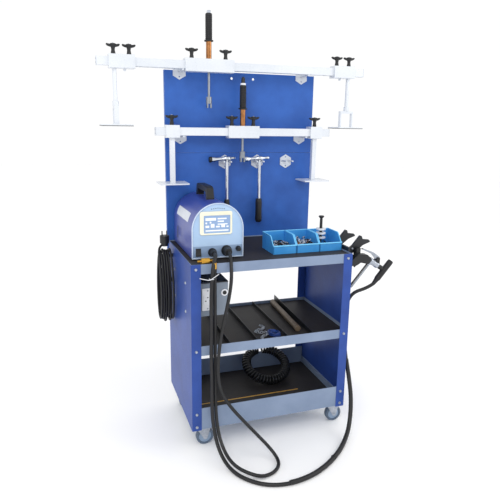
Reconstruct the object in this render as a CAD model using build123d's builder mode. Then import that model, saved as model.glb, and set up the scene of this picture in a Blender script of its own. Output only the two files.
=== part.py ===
"""Spot welder station for panel repair.

A steel trolley on casters carries a tool board, a welding power source, three small-parts
bins and a pulling gun.  Two pulling beams and two hammers hang on the board.
Millimetres, +Z up, +X to the operator's right, -Y towards the operator.
The origin is on the floor, under the middle of the trolley.
"""
from build123d import *
from math import pi, radians, sin, tan
import os

# ---------------------------------------------------------------- driving dimensions
WIDTH = 650.0            # trolley, over the side panels
DEPTH = 426.0            # trolley, front flange to rear flange
PANEL_BOTTOM = 95.0      # underside of the side panels above the floor
PANEL_TOP = 756.0        # top edge of the side panels
SHEET = 2.0              # steel sheet
FLANGE = 37.0            # folded flange of a side panel

TRAY_LIP = (719.0, 756.0)        # bottom and top of the top tray's lip
MIDDLE_LIP = (403.0, 441.0)
BOTTOM_LIP = (98.0, 187.0)
TRAY_FLOOR = 744.0
MIDDLE_FLOOR = 420.0
BOTTOM_FLOOR = 98.0
MAT = 6.0                # rubber mat thickness

BOARD_WIDTH = 656.0
BOARD_BOTTOM = 640.0
BOARD_SEAM = 1123.0
BOARD_TOP = 1449.0
BOARD_DEPTH = 20.0
ACCESSORY_HOLE = 10.0    # two through holes at the top of the board

BEAM = 32.0              # square section of both pulling beams
BEAM_WALL = 3.0
BEAM_Y = 154.0           # centre line of the beams
SLOT = 14.0              # slot in a beam for the pull rod
BLOCK = 50.0             # square section of sliders and carriages
FIT = 0.3                # running clearance on flat guides
UPPER_BEAM_Z = 1465.0
LOWER_BEAM_Z = 1211.0
UPPER_BEAM_X = (-589.0, 527.0)
LOWER_BEAM_X = (-376.0, 376.0)
CLIP_X = 267.0           # the beams rest on clips at plus and minus this
TOOL_CLIPS = ((-76.0, 1085.0), (70.0, 1085.0), (205.0, 1085.0))

WHEEL = 70.0             # caster wheel diameter
WHEEL_WIDTH = 24.0
TRAIL = 22.0             # caster trail
CASTER_X = 285.0
FRONT_CASTER_Y = -155.0
REAR_CASTER_Y = 165.0

WELDER_X = -203.0
WELDER_WIDTH = 196.0
WELDER_FRONT = -138.0
WELDER_REAR = 194.0
WELDER_BASE = 757.0
WELDER_TOP = 962.0
CASE_WALL = 3.0

BIN_PITCH = 100.0
BIN_X = 70.0             # centre of the left bin
BIN_WIDTH = 98.0
BIN_FRONT = -133.0
BIN_DEPTH = 125.0
BIN_HEIGHT = 67.0

GUN_Y = -165.0
WELD_CABLE = 14.0        # cable diameters
GROUND_CABLE = 13.0
CURLY_HOSE = 44.0

HALF_W = WIDTH / 2
HALF_D = DEPTH / 2
MAT_TOP = TRAY_FLOOR + SHEET + MAT

os.makedirs("parts", exist_ok=True)


def save(piece, label):
    """Label one finished piece and write its STEP file."""
    piece.label = label
    export_step(piece, f"parts/{label}.step")


def group(pieces, label):
    """Several separate solids that share one node."""
    save(Compound(children=pieces), label)


# ---------------------------------------------------------------- trolley
def side_panel(side):
    """C-shaped sheet panel: an outer web with a flange turned in at front and rear."""
    outer = side * HALF_W
    inner = side * (HALF_W - SHEET)
    edge = side * (HALF_W - FLANGE)
    with BuildPart() as panel:
        with BuildSketch(Plane.XY.offset(PANEL_BOTTOM)):
            with BuildLine():
                Polyline((edge, -HALF_D), (outer, -HALF_D), (outer, HALF_D), (edge, HALF_D),
                         (edge, HALF_D - SHEET), (inner, HALF_D - SHEET),
                         (inner, -HALF_D + SHEET), (edge, -HALF_D + SHEET), close=True)
            make_face()
        extrude(amount=PANEL_TOP - PANEL_BOTTOM)
    return panel.part


def shelf(lip, floor, side_lip):
    """A folded pan: a floor sheet between lips at front and rear, and low ones at the sides."""
    width = WIDTH - 2 * SHEET
    depth = DEPTH - 2 * SHEET
    low, high = lip
    with BuildPart() as pan:
        with BuildSketch(Plane.XY.offset(low)):
            Rectangle(width, depth)
        extrude(amount=high - low)
        with BuildSketch(Plane.XY.offset(floor + SHEET)):
            Rectangle(width - 2 * SHEET, depth - 2 * SHEET)
        extrude(amount=high - floor, mode=Mode.SUBTRACT)
        if floor > low + SHEET:
            with BuildSketch(Plane.XY.offset(low)):
                Rectangle(width - 2 * SHEET, depth - 2 * SHEET)
            extrude(amount=floor - low, mode=Mode.SUBTRACT)
        with BuildSketch(Plane.XY.offset(floor + side_lip)):
            Rectangle(width + 1, depth - 2 * SHEET)
        extrude(amount=high - floor, mode=Mode.SUBTRACT)
    return pan.part


def mat(floor):
    """Rubber mat that covers a shelf floor."""
    with BuildPart() as rubber:
        with BuildSketch(Plane.XY.offset(floor + SHEET)):
            RectangleRounded(WIDTH - 4 * SHEET - 2, DEPTH - 4 * SHEET - 2, 4)
        extrude(amount=MAT)
    return rubber.part


def divider(x, front_height, rear_height):
    """Thin upright sheet across the middle shelf, higher at the rear when it leans there."""
    base = MIDDLE_FLOOR + SHEET + MAT
    reach = HALF_D - 3 * SHEET
    with BuildPart() as sheet:
        with BuildSketch(Plane.YZ.offset(x - SHEET / 2)):
            with BuildLine():
                Polyline((-reach, base), (reach, base), (reach, base + rear_height),
                         (-reach, base + front_height), close=True)
            make_face()
        extrude(amount=SHEET)
    return sheet.part


def board_panel(low, high, holes):
    """Flat sheet with its four edges folded back."""
    with BuildPart() as panel:
        with BuildSketch(Plane.XZ.offset(-HALF_D)):
            with Locations((0, (low + high) / 2)):
                Rectangle(BOARD_WIDTH, high - low)
        extrude(amount=-BOARD_DEPTH)
        with BuildSketch(Plane.XZ.offset(-HALF_D - SHEET)):
            with Locations((0, (low + high) / 2)):
                Rectangle(BOARD_WIDTH - 2 * SHEET, high - low - 2 * SHEET)
        extrude(amount=-BOARD_DEPTH, mode=Mode.SUBTRACT)
        if holes:
            with Locations(Plane.XZ.offset(-HALF_D)):
                with Locations((-47, 1426), (47, 1426)):
                    Hole(ACCESSORY_HOLE / 2, depth=BOARD_DEPTH)
    return panel.part


for name, side in (("left_side_panel", -1), ("right_side_panel", 1)):
    save(side_panel(side), name)
save(shelf(TRAY_LIP, TRAY_FLOOR, 12), "top_tray")
save(shelf(MIDDLE_LIP, MIDDLE_FLOOR, 21), "middle_shelf")
save(shelf(BOTTOM_LIP, BOTTOM_FLOOR, 40), "bottom_shelf")
group([mat(TRAY_FLOOR), mat(MIDDLE_FLOOR), mat(BOTTOM_FLOOR)], "shelf_mats")
group([divider(-175, 16, 16), divider(-66, 16, 16), divider(60, 16, 16), divider(168, 16, 38)],
      "shelf_dividers")
group([board_panel(BOARD_SEAM + 0.5, BOARD_TOP, True),
       board_panel(BOARD_BOTTOM, BOARD_SEAM - 0.5, False)], "tool_board")


# ---------------------------------------------------------------- fasteners and clips
def button_head(plane, radius=6.0, height=3.2):
    """Domed bolt head standing on a face."""
    with BuildPart() as bolt:
        with BuildSketch(plane):
            Circle(radius)
        extrude(amount=height, taper=28)
    return bolt.part


def facing(x, y, z, direction):
    """A plane at a point whose normal is the given direction."""
    return Plane(origin=(x, y, z), z_dir=direction)


bolts = []
for x in (-306.5, 306.5):
    for z in (738, 422, 164, 110):
        bolts.append(button_head(facing(x, -HALF_D, z, (0, -1, 0))))
for y in (-124, 76):
    for z in (665, 553):
        bolts.append(button_head(facing(-HALF_W, y, z, (-1, 0, 0))))
for x in (-306.5, 306.5):
    for z in (738, 422, 164, 110):
        if z < 700:
            bolts.append(button_head(facing(x, HALF_D, z, (0, 1, 0))))
for x in (-306.5, 306.5):
    for z in (660, 700, 1100, 1146):
        bolts.append(button_head(facing(x, HALF_D + SHEET, z, (0, 1, 0)), 5, 3))
group(bolts, "frame_bolts")


def tool_clip(x, z, arms, arm_size, reach):
    """Six-sided plate on the board with a cross slot and arms that carry a tool."""
    with BuildPart() as clip:
        with BuildSketch(Plane.XZ.offset(-HALF_D)):
            with Locations((x, z)):
                RegularPolygon(30, 6, rotation=90)
            with Locations((x, z + 19), (x, z - 19)):
                Circle(2.6, mode=Mode.SUBTRACT)
        extrude(amount=3)
        with BuildSketch(Plane.XZ.offset(-HALF_D + 1.5)):
            with Locations((x, z)):
                Rectangle(60, 4)
        extrude(amount=3, mode=Mode.SUBTRACT)
        with BuildSketch(Plane.XZ.offset(-HALF_D)):
            with Locations(*[(x + a, z + 3) for a in arms]):
                RectangleRounded(arm_size, 6, 1.5)
        extrude(amount=reach)
    return clip.part


clips = []
for x in (-CLIP_X, CLIP_X):
    for beam_z in (UPPER_BEAM_Z, LOWER_BEAM_Z):
        clips.append(tool_clip(x, beam_z - BEAM / 2 - 6 - FIT, (0,), 8, 78))
for x, z in TOOL_CLIPS:
    clips.append(tool_clip(x, z, (-15, 15), 6, 50))
group(clips, "tool_clips")


# ---------------------------------------------------------------- casters
def caster_fork(x, y, heading, race):
    """Pressed fork with its axle; the swivel kind has a round race on top."""
    hub = Plane(origin=(x, y, 0), x_dir=heading, z_dir=(0, 0, 1))
    reach = TRAIL if race else 0
    top = 90.5 if race else 95.0
    leg = Plane(origin=(x, y, WHEEL / 2), x_dir=heading, z_dir=(heading[1], -heading[0], 0))
    with BuildPart() as fork:
        with BuildSketch(hub.offset(74)):
            with Locations((reach / 2, 0)):
                RectangleRounded(46 + reach, 34, 8)
        extrude(amount=4)
        with BuildSketch(hub.offset(78)):
            Circle(19)
        extrude(amount=top - 78)
        for offset in (-17, 14):
            with BuildSketch(leg.offset(offset)):
                with BuildLine():
                    Polyline((reach - 9, 0), (reach + 9, 0), (reach + 20, 39.5),
                             (reach / 2 - 22, 39.5), close=True)
                make_face()
                with Locations((reach, 0)):
                    Circle(9)
            extrude(amount=3)
        with BuildSketch(leg.offset(-19)):
            with Locations((reach, 0)):
                Circle(4)
        extrude(amount=38)
    return fork.part


def caster_plate(x, y, race):
    """Top plate under the bottom shelf; the front ones hold the fixed half of the race."""
    with BuildPart() as plate:
        with BuildSketch(Plane.XY.offset(95)):
            with Locations((x, y)):
                RectangleRounded(62, 62, 6)
        extrude(amount=3)
        if race:
            with BuildSketch(Plane.XY.offset(91)):
                with Locations((x, y)):
                    Circle(21)
            extrude(amount=4)
    return plate.part


def wheel(x, y, axis):
    """Disc wheel with a rounded tyre and a bore for the axle."""
    with BuildPart() as disc:
        with BuildSketch(facing(x, y, WHEEL / 2, axis).offset(-WHEEL_WIDTH / 2)):
            Circle(WHEEL / 2)
            Circle(4.08, mode=Mode.SUBTRACT)
        extrude(amount=WHEEL_WIDTH)
        rims = disc.edges().filter_by(GeomType.CIRCLE).group_by(SortBy.RADIUS)[-1]
        fillet(rims, 4)
        for face, way in ((-1, 1), (1, -1)):
            plane = facing(x, y, WHEEL / 2, axis).offset(face * WHEEL_WIDTH / 2)
            with BuildSketch(plane):
                Circle(24)
                Circle(10, mode=Mode.SUBTRACT)
            extrude(amount=way * 5, mode=Mode.SUBTRACT)
    return disc.part


for name, side in (("left", -1), ("right", 1)):
    x = side * CASTER_X
    save(caster_fork(x, FRONT_CASTER_Y, (1, 0, 0), True), f"front_{name}_fork")
    save(wheel(x + TRAIL, FRONT_CASTER_Y, (0, 1, 0)), f"front_{name}_wheel")
    save(wheel(x, REAR_CASTER_Y, (1, 0, 0)), f"rear_{name}_wheel")
mounts = [caster_plate(s * CASTER_X, FRONT_CASTER_Y, True) for s in (-1, 1)]
for side in (-1, 1):
    x = side * CASTER_X
    mounts.append(caster_plate(x, REAR_CASTER_Y, False)
                  + caster_fork(x, REAR_CASTER_Y, (0, 1, 0), False))
group(mounts, "caster_plates")

# ---------------------------------------------------------------- power box
BOX_X = (-323.0, -171.0)
BOX_Y = (-163.0, 107.0)
BOX_Z = (540.0, 672.0)
with BuildPart() as power_box:
    with BuildSketch(Plane.XY.offset(BOX_Z[0])):
        with Locations(((BOX_X[0] + BOX_X[1]) / 2, (BOX_Y[0] + BOX_Y[1]) / 2)):
            Rectangle(BOX_X[1] - BOX_X[0], BOX_Y[1] - BOX_Y[0])
            Rectangle(BOX_X[1] - BOX_X[0] - 2 * SHEET, BOX_Y[1] - BOX_Y[0] - 2 * SHEET,
                      mode=Mode.SUBTRACT)
    extrude(amount=BOX_Z[1] - BOX_Z[0] - 3)
    with BuildSketch(Plane.XY.offset(BOX_Z[0])):
        with Locations(((BOX_X[0] + BOX_X[1]) / 2, (BOX_Y[0] + BOX_Y[1]) / 2)):
            Rectangle(BOX_X[1] - BOX_X[0] - SHEET, BOX_Y[1] - BOX_Y[0] - SHEET)
    extrude(amount=SHEET)
    with BuildSketch(Plane.XY.offset(BOX_Z[1] - 3)):
        with Locations(((BOX_X[0] + BOX_X[1]) / 2, (BOX_Y[0] + BOX_Y[1]) / 2)):
            Rectangle(BOX_X[1] - BOX_X[0], BOX_Y[1] - BOX_Y[0] + 6)
    extrude(amount=3)
save(power_box.part, "power_box")

with BuildPart() as socket_panel:
    with BuildSketch(Plane.XZ.offset(-BOX_Y[0])):
        with Locations((-251, 606)):
            RectangleRounded(42, 86, 3)
        with Locations((-185, 628)):
            Circle(13)
    extrude(amount=3)
    with BuildSketch(Plane.XZ.offset(-BOX_Y[0] + 3)):
        with Locations((-251, 606)):
            RectangleRounded(32, 34, 4)
    extrude(amount=2)
    with BuildSketch(Plane.XZ.offset(-BOX_Y[0] + 5)):
        with Locations((-259, 601), (-243, 601), (-251, 615)):
            Circle(2.6)
    extrude(amount=-4, mode=Mode.SUBTRACT)
    with BuildSketch(Plane.XZ.offset(-BOX_Y[0] + 3)):
        with Locations((-185, 628)):
            Circle(8)
    extrude(amount=-2, mode=Mode.SUBTRACT)
save(socket_panel.part, "socket_panel")


# ---------------------------------------------------------------- welding power source
def arch(plane, width, base, top, x=WELDER_X):
    """Upright outline with a semicircular top, as a sketch on an XZ plane."""
    half = width / 2
    with BuildSketch(plane, mode=Mode.PRIVATE) as outline:
        with BuildLine():
            Polyline((x - half, top - half), (x - half, base), (x + half, base),
                     (x + half, top - half))
            ThreePointArc((x - half, top - half), (x, top), (x + half, top - half))
        make_face()
    return outline.sketch


def case_plane(y):
    """XZ plane at a given depth, facing the operator."""
    return Plane.XZ.offset(-y)


INNER = WELDER_WIDTH - 2 * CASE_WALL
welder_length = WELDER_REAR - WELDER_FRONT
with BuildPart() as welder_case:
    extrude(arch(case_plane(WELDER_FRONT), WELDER_WIDTH, WELDER_BASE, WELDER_TOP),
            amount=-welder_length)
    extrude(arch(case_plane(WELDER_FRONT), INNER, WELDER_BASE + CASE_WALL,
                 WELDER_TOP - CASE_WALL), amount=-(welder_length - CASE_WALL),
            mode=Mode.SUBTRACT)
    for side in (-1, 1):
        for step in range(5):
            with BuildSketch(Plane.YZ.offset(WELDER_X + side * WELDER_WIDTH / 2)):
                with Locations((60 + 16 * step, 820)):
                    SlotOverall(36, 5, rotation=90)
            extrude(amount=-side * CASE_WALL, mode=Mode.SUBTRACT)
    with BuildSketch(Plane.XY.offset(MAT_TOP)):
        with Locations(*[(WELDER_X + sx * 75, (WELDER_FRONT + WELDER_REAR) / 2 + sy * 125)
                         for sx in (-1, 1) for sy in (-1, 1)]):
            Circle(11)
    extrude(amount=WELDER_BASE - MAT_TOP)
save(welder_case.part, "welder_case")

FRONT_INSET = 4.0
front_y = WELDER_FRONT + FRONT_INSET
with BuildPart() as welder_front:
    extrude(arch(case_plane(front_y), INNER - 0.4, WELDER_BASE + CASE_WALL,
                 WELDER_TOP - CASE_WALL - 0.2), amount=-CASE_WALL)
    with BuildSketch(case_plane(front_y)):
        with Locations((WELDER_X - 7, 889)):
            RectangleRounded(122, 87, 3)
    extrude(amount=1.5)
    with BuildSketch(case_plane(front_y)):
        with Locations((WELDER_X - 74, 780)):
            Rectangle(20.6, 31.6)
    extrude(amount=-CASE_WALL, mode=Mode.SUBTRACT)
save(welder_front.part, "welder_front")

ROCKER_Z = 780.0
rocker_x = WELDER_X - 74
with BuildPart() as rocker_switch:
    with BuildSketch(Plane.YZ.offset(rocker_x - 10)):
        with Locations((front_y + 3, ROCKER_Z)):
            Circle(4)
        with BuildLine():
            Polyline((front_y + 3, ROCKER_Z - 13), (front_y - 5, ROCKER_Z - 13),
                     (front_y - 1, ROCKER_Z), (front_y + 1.5, ROCKER_Z + 13),
                     (front_y + 3, ROCKER_Z + 13), close=True)
        make_face()
    extrude(amount=20)
save(rocker_switch.part, "rocker_switch")


def weld_socket(x, z, radius, length):
    """Round panel connector with a stepped boot that points at the operator."""
    with BuildPart() as boot:
        with BuildSketch(case_plane(front_y)):
            with Locations((x, z)):
                Circle(radius)
        extrude(amount=6)
        with BuildSketch(case_plane(front_y - 6)):
            with Locations((x, z)):
                Circle(radius * 0.85)
        extrude(amount=length, taper=8)
    return boot.part


SOCKET_REACH = 26.0
weld_out = (WELDER_X - 22, 779)
ground_out = (WELDER_X + 33, 783)
signal_out = (WELDER_X + 79, 788)
group([weld_socket(*weld_out, 16, SOCKET_REACH), weld_socket(*ground_out, 20, SOCKET_REACH),
       weld_socket(*signal_out, 10, 12)], "welder_sockets")

with BuildPart() as welder_handle:
    with BuildSketch(Plane.YZ.offset(WELDER_X - 14)):
        with BuildLine():
            Polyline((-34, WELDER_TOP - 2), (-22, 1002), (-2, 1009), (118, 1009),
                     (138, 1002), (150, WELDER_TOP - 2), (128, WELDER_TOP - 2),
                     (118, 988), (-2, 988), (-12, WELDER_TOP - 2), close=True)
        make_face()
    extrude(amount=28)
    fillet(welder_handle.edges().filter_by(Axis.X), 5)
save(welder_handle.part, "welder_handle")


# ---------------------------------------------------------------- bins
def parts_bin(x):
    """Open-fronted picking bin with ribbed sides."""
    rear = BIN_FRONT + BIN_DEPTH
    with BuildPart() as bin_:
        with BuildSketch(Plane.YZ.offset(x - BIN_WIDTH / 2)):
            with BuildLine():
                Polyline((BIN_FRONT + 4, MAT_TOP), (rear - 4, MAT_TOP),
                         (rear, MAT_TOP + BIN_HEIGHT), (BIN_FRONT + 22, MAT_TOP + BIN_HEIGHT - 6),
                         (BIN_FRONT + 8, MAT_TOP + 34), (BIN_FRONT, MAT_TOP + 32), close=True)
            make_face()
        extrude(amount=BIN_WIDTH)
        with BuildSketch(Plane.YZ.offset(x - BIN_WIDTH / 2 + 2.5)):
            with BuildLine():
                Polyline((BIN_FRONT + 7, MAT_TOP + 2.5), (rear - 7, MAT_TOP + 2.5),
                         (rear - 3, MAT_TOP + BIN_HEIGHT + 5), (BIN_FRONT + 3, MAT_TOP + 80),
                         (BIN_FRONT + 3, MAT_TOP + 40), close=True)
            make_face()
        extrude(amount=BIN_WIDTH - 5, mode=Mode.SUBTRACT)
    return bin_.part


group([parts_bin(BIN_X + BIN_PITCH * i) for i in range(3)], "parts_bins")


# ---------------------------------------------------------------- pulling gun and its holder
HOLDER_PLATE = 8.0


def fork_arm(y):
    """Flat Y-shaped hook that leans out from the trolley's side."""
    with BuildPart() as arm:
        with BuildSketch(case_plane(y)):
            with BuildLine():
                Polyline((HALF_W + HOLDER_PLATE, 734), (HALF_W + HOLDER_PLATE, 762),
                         (352, 776), (384, 814), (392, 812), (397, 799), (426, 795),
                         (434, 786), (400, 774), (372, 752), close=True)
            make_face()
        extrude(amount=-9)
        fillet(arm.edges().filter_by(Axis.Y).group_by(Axis.X)[-1], 3)
    return arm.part


with BuildPart() as holder_bracket:
    with BuildSketch(Plane.XY.offset(716)):
        with Locations((HALF_W + HOLDER_PLATE / 2, -88)):
            Rectangle(HOLDER_PLATE, 178)
    extrude(amount=56)
group([holder_bracket.part, fork_arm(GUN_Y + 4), fork_arm(GUN_Y + 124)], "gun_holder")

GUN_BODY_Y = GUN_Y - 20
BODY_LEFT = HALF_W + HOLDER_PLATE + 0.2
TRIGGER_PIVOT = (456.0, 721.0)
barrel_start = Vector(398, GUN_BODY_Y, 730)
barrel_end = Vector(484, GUN_BODY_Y, 674)
barrel_dir = (barrel_end - barrel_start).normalized()
with BuildPart() as gun_body:
    with BuildSketch(case_plane(GUN_BODY_Y - 15)):
        with BuildLine():
            Polyline((BODY_LEFT, 700), (BODY_LEFT, 724), (362, 748), (402, 742),
                     (424, 720), (408, 703), (372, 712), (356, 702), close=True)
        make_face()
    extrude(amount=-30)
    fillet(gun_body.edges().filter_by(Axis.Y), 3)
    with BuildSketch(case_plane(GUN_Y + 4)):
        with Locations((367, 748)):
            Rectangle(18, 40)
    extrude(amount=24)
    with BuildSketch(Plane(origin=barrel_start, z_dir=barrel_dir)):
        Circle(12)
    extrude(amount=70)
    with BuildSketch(Plane(origin=barrel_start, z_dir=barrel_dir).offset(70)):
        Circle(7)
    extrude(amount=(barrel_end - barrel_start).length - 70)
    for y in (GUN_BODY_Y - 6.3, GUN_BODY_Y + 10.3):
        with BuildSketch(case_plane(y)):
            with BuildLine():
                Polyline((444, 700), (462, 688), (463, 724), (456, 727), (449, 724), close=True)
            make_face()
        extrude(amount=4)
    with BuildSketch(case_plane(GUN_BODY_Y - 8)):
        with Locations(TRIGGER_PIVOT):
            Circle(2.5)
    extrude(amount=-16)
save(gun_body.part, "gun_body")

with BuildPart() as gun_trigger:
    with BuildSketch(case_plane(GUN_BODY_Y - 6)):
        with BuildLine():
            Polyline((380, 764), (386, 767), (432, 749), (464, 727), (462, 715), (449, 716),
                     (428, 741), close=True)
        make_face()
        with Locations(TRIGGER_PIVOT):
            Circle(2.58, mode=Mode.SUBTRACT)
    extrude(amount=-12)
save(gun_trigger.part, "gun_trigger")

grip_dir = Vector(58, 0, 70).normalized()
grip_low = barrel_end + barrel_dir * 9 - grip_dir * 47
with BuildPart() as gun_grip:
    with BuildSketch(Plane(origin=grip_low, z_dir=grip_dir)):
        Circle(12)
    extrude(amount=94)
    fillet(gun_grip.edges().filter_by(GeomType.CIRCLE), 3)
    with BuildSketch(Plane(origin=grip_low, z_dir=-grip_dir)):
        Circle(10)
    extrude(amount=26, taper=6)
save(gun_grip.part, "gun_grip")


# ---------------------------------------------------------------- pulling beams
def beam(ends, z):
    """Square tube with closed ends and a long slot through its top and bottom."""
    length = ends[1] - ends[0]
    middle = (ends[0] + ends[1]) / 2
    with BuildPart() as tube:
        with BuildSketch(Plane.YZ.offset(ends[0])):
            with Locations((BEAM_Y, z)):
                RectangleRounded(BEAM, BEAM, 2)
        extrude(amount=length)
        with BuildSketch(Plane.YZ.offset(ends[0] + 5)):
            with Locations((BEAM_Y, z)):
                Rectangle(BEAM - 2 * BEAM_WALL, BEAM - 2 * BEAM_WALL)
        extrude(amount=length - 10, mode=Mode.SUBTRACT)
        with BuildSketch(Plane.XY.offset(z - BEAM / 2)):
            with Locations((middle, BEAM_Y)):
                SlotOverall(length - 100, SLOT)
        extrude(amount=BEAM, mode=Mode.SUBTRACT)
    return tube.part


def block(x, z, length, bore):
    """Guide block that runs on a beam, with a cross bore for a pull rod when it has one."""
    opening = BEAM + 2 * FIT
    with BuildPart() as guide:
        with BuildSketch(Plane.YZ.offset(x - length / 2)):
            with Locations((BEAM_Y, z)):
                RectangleRounded(BLOCK, BLOCK, 3)
                Rectangle(opening, opening, mode=Mode.SUBTRACT)
        extrude(amount=length)
        if bore:
            with BuildSketch(Plane.XY.offset(z - BLOCK / 2)):
                with Locations((x, BEAM_Y)):
                    Circle(bore / 2)
            extrude(amount=BLOCK, mode=Mode.SUBTRACT)
    return guide.part


ROD = 10.0
ROD_BORE = 10.16


def knob(x, z):
    """Wing knob: a stem with a bar across its top and rounded ends."""
    with BuildPart() as wing:
        with BuildSketch(Plane.XY.offset(z)):
            with Locations((x, BEAM_Y)):
                Circle(8.5)
        extrude(amount=27)
        with BuildSketch(Plane.XY.offset(z + 27)):
            with Locations((x, BEAM_Y)):
                Circle(11)
                SlotOverall(50, 13)
        extrude(amount=8)
    return wing.part


def knob_pair(x, z, spread):
    """The two clamp knobs on top of one block."""
    return [knob(x - spread, z + BLOCK / 2), knob(x + spread, z + BLOCK / 2)]


def puller_tube(x, z):
    """Copper-plated housing that stands on a carriage."""
    with BuildPart() as tube:
        with BuildSketch(Plane.XY.offset(z + BLOCK / 2)):
            with Locations((x, BEAM_Y)):
                Circle(11)
                Circle(ROD_BORE / 2, mode=Mode.SUBTRACT)
        extrude(amount=65)
    return tube.part


def puller_rod(x, z, reach):
    """Threaded pull rod with a coupling and a fork at its lower end."""
    low = z - BLOCK / 2 - reach
    with BuildPart() as rod:
        with BuildSketch(Plane.XY.offset(low)):
            with Locations((x, BEAM_Y)):
                Circle(ROD / 2)
        extrude(amount=reach + BLOCK + 38)
        with BuildSketch(Plane.XY.offset(low - 26)):
            with Locations((x, BEAM_Y)):
                Circle(12)
        extrude(amount=26)
        with BuildSketch(Plane.XY.offset(low - 43)):
            with Locations((x - 7, BEAM_Y), (x + 7, BEAM_Y)):
                Rectangle(6, 14)
        extrude(amount=17)
    return rod.part


def puller_grip(x, z, tip):
    """Turning grip with a flange below and a small nut on top; the rod ends below it."""
    low = z + BLOCK / 2 + 65 + FIT
    with BuildPart() as grip:
        with BuildSketch(Plane.XY.offset(low)):
            with Locations((x, BEAM_Y)):
                Circle(18)
        extrude(amount=6)
        with BuildSketch(Plane.XY.offset(low + 6)):
            with Locations((x, BEAM_Y)):
                Circle(13.5)
        extrude(amount=98)
        with BuildSketch(Plane.XY.offset(low + 104)):
            with Locations((x, BEAM_Y)):
                Circle(8)
        extrude(amount=tip)
    return grip.part


FOOT_PLATE = (118.0, 104.0, 5.0)


def swivel_foot(x, top, along):
    """Yoke with two cheeks on a base plate, hung on a spigot; along gives the yoke's width way."""
    plate_x, plate_y, plate_z = FOOT_PLATE
    turned = Plane(origin=(x, BEAM_Y, 0), x_dir=along, z_dir=(0, 0, 1))
    with BuildPart() as foot:
        with BuildSketch(turned.offset(top - 18)):
            Circle(12)
        extrude(amount=18)
        with BuildSketch(turned.offset(top - 28)):
            Rectangle(62, 18)
        extrude(amount=10)
        with BuildSketch(turned.offset(top - 86)):
            with Locations((-28, 0), (28, 0)):
                Rectangle(6, 18)
        extrude(amount=58)
        with BuildSketch(Plane.XY.offset(top - 91)):
            with Locations((x, BEAM_Y)):
                RectangleRounded(plate_x, plate_y, 3)
        extrude(amount=plate_z)
        with BuildSketch(turned.offset(top - 15)):
            Circle(4.08)
        extrude(amount=15, mode=Mode.SUBTRACT)
    return foot.part


def upper_slider(x, leg_x, foot_top):
    """Guide block with a round leg that ends in a spigot."""
    under = UPPER_BEAM_Z - BLOCK / 2
    with BuildPart() as slider:
        add(block(x, UPPER_BEAM_Z, 97, 0))
        with BuildSketch(Plane.XY.offset(foot_top + FIT)):
            with Locations((leg_x, BEAM_Y)):
                Circle(8)
        extrude(amount=under - foot_top - FIT)
        with BuildSketch(Plane.XY.offset(foot_top - 14)):
            with Locations((leg_x, BEAM_Y)):
                Circle(4)
        extrude(amount=15)
        with BuildSketch(Plane.XY.offset(under - 9)):
            with Locations((x + (x - leg_x) * 0.4, BEAM_Y)):
                Circle(5)
        extrude(amount=9)
    return slider.part


def lower_leg(x):
    """Guide block with a square leg and a base plate, welded together."""
    under = LOWER_BEAM_Z - BLOCK / 2
    plate_x, plate_y, plate_z = FOOT_PLATE
    with BuildPart() as leg:
        add(block(x, LOWER_BEAM_Z, 54, 0))
        with BuildSketch(Plane.XY.offset(1008)):
            with Locations((x, BEAM_Y)):
                Rectangle(19, 19)
        extrude(amount=under - 1008)
        with BuildSketch(Plane.XY.offset(1003)):
            with Locations((x, BEAM_Y)):
                RectangleRounded(plate_x, plate_y, 3)
        extrude(amount=plate_z)
    return leg.part


UPPER_CARRIAGE_X = -160.0
LOWER_CARRIAGE_X = -16.0
UPPER_SLIDER_X = (-498.0, 434.0)
UPPER_LEG = 28.0         # leg outboard of its slider's middle
LOWER_LEG_X = 312.0
FOOT_TOP = 1322.0

save(beam(UPPER_BEAM_X, UPPER_BEAM_Z), "upper_beam")
save(block(UPPER_CARRIAGE_X, UPPER_BEAM_Z, 198, ROD_BORE), "upper_carriage")
group(knob_pair(UPPER_CARRIAGE_X, UPPER_BEAM_Z, 69), "upper_carriage_knobs")
for name, side, x in (("left", -1, UPPER_SLIDER_X[0]), ("right", 1, UPPER_SLIDER_X[1])):
    leg_x = x + side * UPPER_LEG
    yoke_way = (0, 1, 0) if side < 0 else (1, 0, 0)
    save(upper_slider(x, leg_x, FOOT_TOP), f"upper_{name}_slider")
    save(swivel_foot(leg_x, FOOT_TOP, yoke_way), f"upper_{name}_foot")
    group(knob_pair(x, UPPER_BEAM_Z, 29), f"upper_{name}_knobs")

save(beam(LOWER_BEAM_X, LOWER_BEAM_Z), "lower_beam")
save(block(LOWER_CARRIAGE_X, LOWER_BEAM_Z, 132, ROD_BORE), "lower_carriage")
group(knob_pair(LOWER_CARRIAGE_X, LOWER_BEAM_Z, 47), "lower_carriage_knobs")
for name, side in (("left", -1), ("right", 1)):
    save(lower_leg(side * LOWER_LEG_X), f"lower_{name}_leg")
    save(knob(side * LOWER_LEG_X, LOWER_BEAM_Z + BLOCK / 2 + FIT), f"lower_{name}_knob")

for name, x, z, reach, tip in (("upper", UPPER_CARRIAGE_X, UPPER_BEAM_Z, 93, 10),
                               ("lower", LOWER_CARRIAGE_X, LOWER_BEAM_Z, 55, 24)):
    save(puller_tube(x, z), f"{name}_puller_tube")
    save(puller_rod(x, z, reach), f"{name}_puller_rod")
    save(puller_grip(x, z, tip), f"{name}_puller_grip")


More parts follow.
